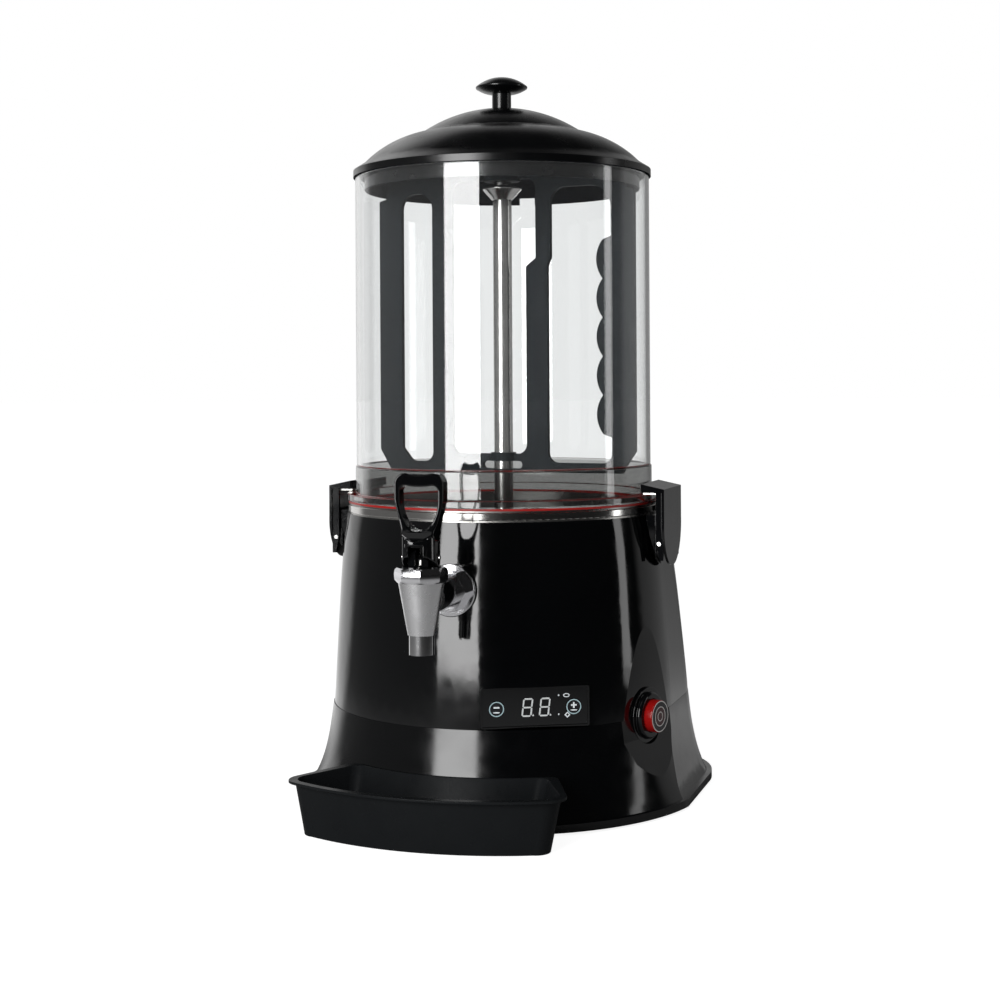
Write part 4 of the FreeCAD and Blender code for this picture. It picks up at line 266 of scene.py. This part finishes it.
SHELL_BLACK = (0.0011, 0.0013, 0.0016)
BLACK = (0.002, 0.0022, 0.0026)
MATERIALS = {
    "shell": plastic("gloss_shell", SHELL_BLACK, 0.075, grain=0.9, relief=0.004, spread=0.35, wave=0.05),
    "skirt": plastic("skirt_plastic", SHELL_BLACK, 0.13, grain=0.9, relief=0.004, spread=0.35, wave=0.05),
    "lid": lid_plastic(),
    # Painted sheen: the lid's underside is lighter and bluer than its top to stand in for its sheen, while an
    # IOR near one takes its real reflection away.
    "lid_inside_painted_sheen": plastic("lid_inside_painted_sheen", (0.0045, 0.0055, 0.0075), 0.5, grain=0.55, relief=0.03, ior=1.03),
    "knob": plastic("knob_plastic", (0.003, 0.0032, 0.0036), 0.2, grain=0.6),
    "paddle": plastic("paddle_plastic", (0.012, 0.0142, 0.0162), 0.5, grain=0.6, relief=0.015, ior=1.12),
    "tray": plastic("tray_plastic", (0.0078, 0.0086, 0.0094), 0.3, relief=0.02, ior=1.16),
    "latch": plastic("latch_plastic", (0.0025, 0.0028, 0.0034), 0.17, grain=0.6, relief=0.012).draft(0.3),
    "lever": plastic("lever_plastic", BLACK, 0.1, grain=0.8, relief=0.006).draft(0.3),
    "collar": plastic("collar_plastic", BLACK, 0.1, grain=0.8, relief=0.006),
    "base": plastic("base_plastic", BLACK, 0.22, grain=0.6, relief=0.015),
    "grey": plastic("button_plastic", (0.2, 0.22, 0.235), 0.35, grain=0.4, relief=0.015),
    "button": plastic("button_black", (0.006, 0.007, 0.009), 0.22, grain=0.4, relief=0.015),
    "red": plastic("switch_red", (0.26, 0.005, 0.0045), 0.16, grain=0.7, relief=0.006),
    "dark_red": plastic("switch_face", (0.05, 0.012, 0.014), 0.2, grain=0.7, relief=0.006),
    "board": plastic("board_resin", (0.02, 0.13, 0.05), 0.35, grain=1.2, relief=0.02),
    "window": plastic("smoked_window", (0.0012, 0.0014, 0.0018), 0.06, grain=1.5, relief=0.002),
    "gasket": rubber("red_silicone", (0.3, 0.007, 0.005), 0.4),
    "rubber": rubber("black_rubber", (0.012, 0.012, 0.012), 0.55),
    "steel": steel("brushed_steel", (0.5, 0.49, 0.47), 0.28, (30, 30, 2600)),
    "tube": steel("drawn_steel", (0.5, 0.49, 0.48), 0.2, (2600, 2600, 22)),
    "band": steel("rolled_steel", (0.62, 0.61, 0.59), 0.14, (30, 30, 3200), relief=0.003),
    "bowl": steel("bowl_steel", (0.3, 0.295, 0.285), 0.3, (30, 30, 2600)),
    "pin": steel("pin_steel", (0.62, 0.61, 0.6), 0.2, (900, 900, 900), relief=0.004),
    "chrome": chrome("chrome_plate", (0.72, 0.72, 0.74), 0.042, 0.119),
    "tap": tap_metal(),
    "brass": steel("plain_brass", (0.6, 0.42, 0.18), 0.25, (700, 700, 700)),
    "paint": plastic("motor_paint", (0.2, 0.205, 0.21), 0.4, grain=0.8, relief=0.03),
    "jar": clear("clear_jar", (0.975, 0.985, 0.985), (0.4, 0.405, 0.4), 0.012),
    # Painted glow: the buttons' pale signs and teal rims emit a little light though they are no lamps; on the
    # display window the same emission stands for its lit digits and signs.
    "symbol": glowing("pale_symbol", (0.62, 0.66, 0.68), 0.15),
    "teal": glowing("teal_ring", (0.33, 0.45, 0.48), 0.15),
    # Painted highlight: the power button's pale rings stand in for the shine on its cap's ring grooves, and
    # also carry a painted glow.
    "ring": glowing("painted_ring_highlight", (0.5, 0.48, 0.47), 0.1),
    "digit": glowing("digit_segments", (0.5, 0.52, 0.52), 0.2),
}
BY_SLOT = {
    "shell_plastic": "shell", "black_plastic": "base", "lever_plastic": "lever", "clear_plastic": "jar",
    "smoked_plastic": "window", "display_face": "window", "stainless": "steel", "chrome": "chrome",
    "red_rubber": "gasket", "black_rubber": "rubber", "red_plastic": "red", "grey_plastic": "grey",
    "brass": "brass", "circuit_board": "board", "motor_paint": "paint",
}
BY_NODE = {
    "lid_shell": "lid", "lid_knob": "knob", "paddle": "paddle", "paddle_hub": "paddle",
    "drip_tray": "tray", "latch_left": "latch", "latch_right": "latch", "latch_base_left": "latch",
    "latch_base_right": "latch", "centre_tube": "tube", "tube_collar": "tube", "rim_band": "band",
    "latch_pins": "pin", "latch_screws": "pin", "lever_pins": "pin", "valve_cap": "lever",
    "switch_body": "collar", "tap_body": "tap", "lower_skirt": "skirt", "down_button": "button",
    "up_button": "button", "product_bowl": "bowl",
}


def material_of(node):
    """The name of a CAD node's material."""
    return BY_NODE.get(node, BY_SLOT[SLOT_OF[node]])


def paint(thing, name):
    """Give a mesh object one material."""
    thing.data.materials.clear()
    thing.data.materials.append(MATERIALS[name].material)
    return thing


# -------------------------------------------------------------------------------------- meshes

def smooth(thing, weighted=True):
    """Smooth shading that keeps large faces flat."""
    for polygon in thing.data.polygons:
        polygon.use_smooth = True
    if weighted:
        modifier = thing.modifiers.new("flat_faces", "WEIGHTED_NORMAL")
        modifier.keep_sharp = True
        modifier.weight = 90
    return thing


def make(name, work, body, material, node=None):
    """Turn a bmesh into a piece that rides on a body, and takes a node's place if one is named."""
    bmesh.ops.recalc_face_normals(work, faces=work.faces)
    mesh = bpy.data.meshes.new(name)
    work.to_mesh(mesh)
    work.free()
    thing = bpy.data.objects.new(name, mesh)
    bpy.context.scene.collection.objects.link(thing)
    if node:
        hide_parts(node)
    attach(thing, body)
    return paint(thing, material)


def remake(name, work, node):
    """Turn a bmesh into a piece that takes a CAD node's place, its body and the material of its slot."""
    return make(name, work, BODY_OF[node], material_of(node), node)


def softened(node, width, segments=3, angle=30.0, clamp=True):
    """A copy of a CAD node with its sharp edges rounded."""
    work = bmesh.new()
    work.from_mesh(NODES[node].data)
    bmesh.ops.remove_doubles(work, verts=work.verts, dist=0.002 * MM)
    bmesh.ops.dissolve_limit(work, angle_limit=math.radians(0.3), verts=work.verts, edges=work.edges)
    thing = remake(node + "_finish", work, node)
    modifier = thing.modifiers.new("rounded_edges", "BEVEL")
    modifier.width = width * MM
    modifier.segments = segments
    modifier.limit_method = "ANGLE"
    modifier.use_clamp_overlap = clamp
    modifier.angle_limit = math.radians(angle)
    return smooth(thing)


def facing(azimuth, level, out=0.0):
    """A place whose local Z points outwards at an azimuth, X to the right and Y up."""
    spin = Matrix.Rotation(math.radians(azimuth), 4, "Z") @ Matrix.Rotation(math.radians(90), 4, "X")
    return Matrix.Translation((0, AXIS_Y, level)) @ spin @ Matrix.Translation((0, 0, out))


def face_of(node, azimuth):
    """How far a node reaches out from the jar's axis towards an azimuth."""
    angle = math.radians(azimuth)
    outward = Vector((math.sin(angle), -math.cos(angle), 0))
    centre = Vector((0, AXIS_Y * MM, 0))
    return max((vertex.co - centre).dot(outward) for vertex in NODES[node].data.vertices) / MM


def ring(work, points, place):
    """Vertices at points in millimetres, placed by a matrix."""
    return [work.verts.new(place @ Vector(point) * MM) for point in points]


def turned(radius, level, angles):
    """Points at one radius and level, at some angles about a local Z axis."""
    return [(radius * math.cos(angle), radius * math.sin(angle), level) for angle in angles]


def skin(work, rings):
    """Faces from each ring of vertices to the next, and from the last to the first."""
    for first, second in zip(rings, rings[1:] + rings[:1]):
        for index in range(len(first)):
            following = (index + 1) % len(first)
            work.faces.new([first[index], first[following], second[following], second[index]])


def slab(work, outline, place, low=0.0, high=SKIN):
    """A prism from a flat outline, placed by a matrix."""
    rings = [ring(work, [(x, y, level) for x, y in outline], place) for level in (low, high)]
    for index in range(len(outline)):
        following = (index + 1) % len(outline)
        work.faces.new([rings[0][index], rings[0][following], rings[1][following], rings[1][index]])
    work.faces.new(rings[0][::-1])
    work.faces.new(rings[1])


def hoop(work, outer, inner, place, high=SKIN):
    """A thin ring between two flat outlines with as many points, placed by a matrix."""
    levels = ((outer, 0.0), (outer, high), (inner, high), (inner, 0.0))
    skin(work, [ring(work, [(x, y, level) for x, y in outline], place) for outline, level in levels])


def circle(radius, count, x=0.0, y=0.0, squeeze=1.0):
    """Points round a circle or ellipse."""
    turns = [2 * math.pi * index / count for index in range(count)]
    return [(x + radius * math.cos(turn), y + radius * squeeze * math.sin(turn)) for turn in turns]


def corner_arc(before, corner, after, radius, steps=5):
    """Points that round a profile's corner."""
    into, out = (before - corner), (after - corner)
    turn = into.angle(out)
    reach = min(radius / math.tan(turn / 2), into.length * 0.45, out.length * 0.45)
    radius = reach * math.tan(turn / 2)
    centre = corner + (into.normalized() + out.normalized()).normalized() * (radius / math.sin(turn / 2))
    start, end = corner + into.normalized() * reach - centre, corner + out.normalized() * reach - centre
    points = []
    for index in range(steps + 1):
        share = index / steps
        points.append(centre + (start * (1 - share) + end * share).normalized() * radius)
    return points


# ---------------------------------------------------------------------- carried-over CAD nodes

for node, thing in NODES.items():
    paint(thing, material_of(node))
    for polygon in thing.data.polygons:
        polygon.use_smooth = True


# ------------------------------------------------------------------------------ rounded pieces

EDGE_WIDTHS = {
    "lid_shell": 0.7, "lid_knob": 0.5, "paddle": 0.7, "paddle_hub": 0.6, "drip_tray": 0.6,
    "latch_left": 0.7, "latch_right": 0.7, "latch_base_left": 0.5, "latch_base_right": 0.5,
    "tap_nut": 0.5, "tap_flange": 0.4, "tap_body": 0.4, "valve_cap": 0.5, "display_bezel": 0.25,
    "tube_collar": 0.3, "base_plate": 0.8, "cord_inlet": 0.5, "switch_body": 0.5, "power_button": 0.5,
}
LID_RIM_TOP = 520.0

JAR_OUTLINE = (
    (115.2, 236.05), (127.5, 236.05), (127.5, 241.7), (120.7, 241.7), (120.7, 263.0), (119.8, 263.9),
    (119.8, 497.0), (116.6, 497.0), (116.6, 264.4), (115.2, 263.0))
JAR_ROUNDING = 0.8

PADDLE_TURN = 6.0
PADDLE_HALF_THICKNESS = 2.47
WINDOW_TOP = 488.0
# The edge of a window, the way into it (+1 to the right) and the fillet's radius.
WINDOW_CORNERS = ((-91.5, 1, 12.5), (-62.8, -1, 12.5), (42.8, 1, 13.0), (94.3, -1, 18.0))


def line_lid(lid):
    """Give the lid's underside and the inside of its rim a matt material, whose lighter, bluer colour is a
    painted sheen.
    """
    lid.data.materials.append(MATERIALS["lid_inside_painted_sheen"].material)
    for polygon in lid.data.polygons:
        outward = Vector((polygon.center.x, polygon.center.y - AXIS_Y * MM, 0)).normalized()
        inside_rim = polygon.normal.dot(outward) < -0.3 and polygon.center.z < LID_RIM_TOP * MM
        if polygon.normal.z < -0.2 or inside_rim:
            polygon.material_index = 1


def jar(segments=256):
    """The clear jar, turned from a profile with rounded corners."""
    corners = [Vector(corner) for corner in JAR_OUTLINE]
    angles = [2 * math.pi * index / segments for index in range(segments)]
    place = Matrix.Translation((0, AXIS_Y, 0))
    work = bmesh.new()
    rings = []
    for index, corner in enumerate(corners):
        following = corners[(index + 1) % len(corners)]
        for point in corner_arc(corners[index - 1], corner, following, JAR_ROUNDING):
            rings.append(ring(work, turned(point.x, point.y, angles), place))
    skin(work, rings)
    smooth(remake("jar_clear", work, "jar"))


def bonnet(sides=8, columns=8, levels=14):
    """The tap's nut with crowned facets and a turned chamfer that scallops their ends."""
    corners = [vertex.co / MM for vertex in NODES["tap_bonnet"].data.vertices]
    low, high = min(corner.z for corner in corners), max(corner.z for corner in corners)
    bore = min(math.hypot(corner.x, corner.y - TAP_Y) for corner in corners)
    half_width, crown, end_radius, chamfer_slope = 17.9, 0.9, 17.3, 1.2
    first_facet = math.radians(-95)
    angles = [2 * math.pi * (index / columns + 0.5) / sides + first_facet for index in range(sides * columns)]
    place = Matrix.Translation((0, TAP_Y, 0))
    work = bmesh.new()
    rings = []
    for step in range(levels + 1):
        share = step / levels
        level = low + (high - low) * share
        flat = half_width - crown * (2 * share - 1) ** 2
        cut = end_radius + chamfer_slope * min(level - low, high - level)
        points = []
        for index, angle in enumerate(angles):
            local = (index % columns) / columns - 0.5
            radius = min(flat / math.cos(2 * math.pi * local / sides), cut)
            points.append((radius * math.cos(angle), radius * math.sin(angle), level))
        rings.append(ring(work, points, place))
    for level in (high, low):
        rings.append(ring(work, turned(bore, level, angles), place))
    skin(work, rings)
    thing = remake("bonnet_facets", work, "tap_bonnet")
    smooth(thing, weighted=False)
    thing.data.set_sharp_from_angle(angle=math.radians(24))


def window_corners(lap=1.0, steps=12):
    """Wide fillets in the top corners of the paddle's outer windows, which lap over its bars."""
    work = bmesh.new()
    for x, side, reach in WINDOW_CORNERS:
        outline = [(x - side * lap, WINDOW_TOP + lap), (x + side * reach, WINDOW_TOP + lap)]
        for index in range(steps + 1):
            turn = math.pi / 2 * index / steps
            across, down = reach * (1 - math.sin(turn)), reach * (1 - math.cos(turn))
            outline.append((x + side * across, WINDOW_TOP - down))
        outline.append((x - side * lap, WINDOW_TOP - reach))
        slab(work, outline, facing(-PADDLE_TURN, 0.0), -PADDLE_HALF_THICKNESS, PADDLE_HALF_THICKNESS)
    make("paddle_corners", work, "mixer", "paddle")


for node, width in EDGE_WIDTHS.items():
    softened(node, width)
softened("tap_lever", 1.3, segments=4, angle=40.0, clamp=False)
line_lid(bpy.data.objects["lid_shell_finish"])
jar()
bonnet()
window_corners()


# ------------------------------------------------------------------------- display and controls

DISPLAY_AZIMUTH, DISPLAY_LEVEL = 27.0, 89.2
SWITCH_AZIMUTH, SWITCH_LEVEL = 71.3, 73.2
DIGIT_MIDDLES = (-5.8, 7.3)
DIGIT_LEVEL, DIGIT_WIDTH, DIGIT_HEIGHT = -0.15, 7.7, 13.8
SEGMENT_WIDTH, SEGMENT_GAP, DIGIT_LEAN = 1.15, 0.2, 0.12
BUTTON_OFFSET = 29.2
PLATE_SKIN = 0.6 * SKIN


def digit(work, middle, place):
    """The seven segments of a leaning digit."""
    x, y = (DIGIT_WIDTH - SEGMENT_WIDTH) / 2, (DIGIT_HEIGHT - SEGMENT_WIDTH) / 2
    ends = [((-x, y), (x, y)), ((-x, 0), (x, 0)), ((-x, -y), (x, -y)), ((-x, 0), (-x, y)),
            ((x, 0), (x, y)), ((-x, -y), (-x, 0)), ((x, -y), (x, 0))]
    for start, end in ends:
        start, end = Vector(start), Vector(end)
        way = (end - start).normalized()
        side = Vector((-way.y, way.x)) * SEGMENT_WIDTH / 2
        tip, shoulder = way * SEGMENT_GAP, way * (SEGMENT_GAP + SEGMENT_WIDTH / 2)
        points = [start + tip, start + shoulder + side, end - shoulder + side,
                  end - tip, end - shoulder - side, start + shoulder - side]
        outline = [(middle + point.x + point.y * DIGIT_LEAN, DIGIT_LEVEL + point.y) for point in points]
        slab(work, outline, place)


def display_signs():
    """Two digits with their points, two indicator dots and two plain signs on the window."""
    place = facing(DISPLAY_AZIMUTH, DISPLAY_LEVEL, face_of("display_window", DISPLAY_AZIMUTH))
    work = bmesh.new()
    for middle in DIGIT_MIDDLES:
        digit(work, middle, place)
        slab(work, circle(0.65, 20, middle + 4.3, -6.1), place)
    make("digit_segments", work, "machine", "digit")
    work = bmesh.new()
    for y in (8.2, -6.0):
        slab(work, circle(0.6, 20, 17.9, y), place)
    hoop(work, circle(2.5, 40, 23.8, 8.0, 0.6), circle(1.8, 40, 23.8, 8.0, 0.5), place)
    hoop(work, circle(2.3, 4, 24.5, -6.6), circle(1.1, 4, 24.5, -6.6), place)
    make("display_signs", work, "machine", "symbol")


def button_signs(body, node, side):
    """A button's pale rim, its plus or minus sign and the dash below it, all with a painted glow."""
    place = facing(DISPLAY_AZIMUTH, DISPLAY_LEVEL - 0.5, face_of(node, DISPLAY_AZIMUTH))
    middle = side * BUTTON_OFFSET
    work = bmesh.new()
    hoop(work, circle(5.6, 64, middle), circle(4.9, 64, middle), place)
    make(body + "_rim", work, body, "teal")
    work = bmesh.new()
    long, short, up = 2.2, 0.6, 1.2
    if side > 0:
        outline = [(-short, -long), (short, -long), (short, -short), (long, -short),
                   (long, short), (short, short), (short, long), (-short, long),
                   (-short, short), (-long, short), (-long, -short), (-short, -short)]
    else:
        outline = [(-long, -short), (long, -short), (long, short), (-long, short)]
    slab(work, [(middle + x, up + y) for x, y in outline], place)
    slab(work, circle(2.6, 28, middle, -2.5, 0.2), place)
    make(body + "_sign", work, body, "symbol")


def power_signs():
    """The power button's dark face with its three pale rings, which are painted highlights on the cap's ring
    grooves, with a painted glow.
    """
    place = facing(SWITCH_AZIMUTH, SWITCH_LEVEL, face_of("power_button", SWITCH_AZIMUTH))
    work = bmesh.new()
    for radius, width in ((11.9, 0.75), (7.6, 0.7), (3.7, 0.6)):
        # Painted highlight: pale rings in place of the shine on the cap's grooves.
        hoop(work, circle(radius, 72), circle(radius - width, 72), place)
    make("power_rings", work, "power", "ring")
    work = bmesh.new()
    hoop(work, circle(11.2, 72), circle(7.55, 72), place, PLATE_SKIN)
    make("power_plate", work, "power", "button")
    work = bmesh.new()
    slab(work, circle(7.0, 72), place, 0.0, PLATE_SKIN)
    make("power_centre", work, "power", "dark_red")


display_signs()
button_signs("down", "down_button", -1)
button_signs("up", "up_button", 1)
power_signs()


# --------------------------------------------------------------------------------- the studio

CAMERA_AZIMUTH = 17.3
CAMERA_DISTANCE, CAMERA_HEIGHT, CAMERA_ROLL = 1.416, 0.3305, -0.0057
AZIMUTH = math.radians(CAMERA_AZIMUTH)
UP = Vector((0, 0, 1))
BACK = Vector((-math.sin(AZIMUTH), math.cos(AZIMUTH), 0))
LEFT = Vector((-math.cos(AZIMUTH), -math.sin(AZIMUTH), 0))
CORNER = BACK * math.cos(math.radians(40)) - LEFT * math.sin(math.radians(40))
HIGH_LEFT = (LEFT * 0.45 + BACK * 0.75 + UP * 0.48).normalized()
FLOOR_RADIUS = 30.0


def backdrop(graph, source):
    """The bright screens behind the machine and to its right, as a gloss mirrors them."""
    backwards = graph.along(BACK, source)
    share = graph.rise(graph.along(LEFT, source), -0.5, 0.3, 0.1, 0.8)
    behind = graph.times(graph.rise(backwards, 0.52, 0.7), share)
    beside = graph.rise(graph.along(CORNER, source), 0.78, 0.87, 0.0, 0.26)
    beside = graph.times(beside, graph.rise(backwards, 0.75, 0.95, 1.0, 0.3))
    return graph.reckon("MAXIMUM", behind, beside)


def flank(graph, source):
    """The dim screen to the machine's left, as a gloss mirrors it."""
    return graph.rise(graph.along(LEFT, source), 0.0, 0.7, 0.0, 0.13)


def surroundings():
    """White where the camera sees them, screens where a gloss does, and even light elsewhere."""
    world = bpy.data.worlds.new("studio")
    bpy.context.scene.world = world
    graph = Graph("studio", world)
    height = graph.along(UP)
    screen = graph.times(backdrop(graph, "Generated"), graph.rise(height, 0.45, 0.85, 1.0, 0.0))
    screen = graph.reckon("MAXIMUM", screen, graph.rise(graph.along(HIGH_LEFT), 0.88, 1.0))
    side = graph.times(flank(graph, "Generated"), graph.rise(height, 0.3, 0.8, 1.0, 0.0))
    screens = graph.plus(graph.reckon("MAXIMUM", screen, side), 0.015)
    gloss = graph.mirror()
    around = graph.plus(graph.times(screens, gloss), graph.times(graph.rest(gloss), 0.3))
    seen = graph.sight()
    strength = graph.plus(seen, graph.times(graph.rest(seen), around))
    graph.set(Strength=strength, Color=(1, 1, 1, 1))


def lay_floor():
    """A wide pale disc that keeps the machine's shadow and carries the screens on in a gloss."""
    graph = Graph("studio_floor")
    where = graph.add("TexCoord").outputs["Object"]
    way = graph.vector("NORMALIZE", where).outputs["Vector"]
    length = graph.vector("LENGTH", where).outputs["Value"]
    near = graph.rise(length, 0.6, 1.0, 1.0, 0.0)
    patch = graph.blend(graph.noise(2.0, 2.0), (0.39, 0.39, 0.39), (0.41, 0.41, 0.41))
    seen = graph.sight()
    plain = graph.times(seen, graph.rest(graph.times(near, 0.1)))
    far = graph.times(graph.plus(backdrop(graph, way), flank(graph, way)), graph.rise(length, 0.2, 0.6))
    front = graph.times(graph.rise(length, 0.45, 0.75, 0.14, 0.0), graph.rise(length, 0.2, 0.3))
    shine = graph.times(graph.times(graph.mirror(), graph.rest(seen)), graph.plus(far, front))
    graph.set(Base_Color=graph.blend(near, (0.1, 0.1, 0.1), patch), Roughness=0.9, Specular_IOR_Level=0.0,
              Emission_Color=(1, 1, 1, 1), Emission_Strength=graph.plus(plain, shine))
    work = bmesh.new()
    bmesh.ops.create_circle(work, cap_ends=True, radius=FLOOR_RADIUS, segments=128)
    mesh = bpy.data.meshes.new("floor")
    work.to_mesh(mesh)
    work.free()
    floor = bpy.data.objects.new("floor", mesh)
    bpy.context.scene.collection.objects.link(floor)
    floor.data.materials.append(graph.material)


def lamp(name, turn, distance, level, width, height, power, aim_level):
    """A soft panel at an angle to the left (-) or right (+) of the camera's direction."""
    angle = math.radians(CAMERA_AZIMUTH + turn)
    data = bpy.data.lights.new(name, "AREA")
    data.shape = "RECTANGLE"
    data.size, data.size_y = width, height
    data.energy = power
    thing = bpy.data.objects.new(name, data)
    thing.location = (math.sin(angle) * distance, AXIS_Y * MM - math.cos(angle) * distance, level)
    aim_point = Vector((0, AXIS_Y * MM, aim_level))
    thing.rotation_euler = (aim_point - thing.location).to_track_quat("-Z", "Y").to_euler()
    thing.visible_camera = False
    bpy.context.scene.collection.objects.link(thing)


def camera():
    """The photograph's view: level, a little to the machine's right, with the frame shifted down."""
    data = bpy.data.cameras.new("camera")
    data.lens, data.sensor_width = 62.28, 36.0
    data.shift_x, data.shift_y = -0.0032, -0.1175
    data.clip_end = 100.0
    thing = bpy.data.objects.new("camera", data)
    across, along = math.sin(AZIMUTH) * CAMERA_DISTANCE, math.cos(AZIMUTH) * CAMERA_DISTANCE
    thing.location = (across, AXIS_Y * MM - along, CAMERA_HEIGHT)
    level = Matrix.Rotation(AZIMUTH, 4, "Z") @ Matrix.Rotation(math.radians(90), 4, "X")
    thing.rotation_euler = (level @ Matrix.Rotation(CAMERA_ROLL, 4, "Z")).to_euler()
    bpy.context.scene.collection.objects.link(thing)
    bpy.context.scene.camera = thing


bpy.context.scene.view_settings.view_transform = "Standard"
surroundings()
lay_floor()
lamp("key_panel", -30, 1.4, 0.545, 0.66, 1.01, 20, 0.545)
lamp("right_strip", 85.5, 1.3, 0.5, 0.16, 1.0, 1.3, 0.5)
lamp("top_panel", -20, 1.0, 1.8, 1.2, 0.8, 1.5, 0.3)
camera()
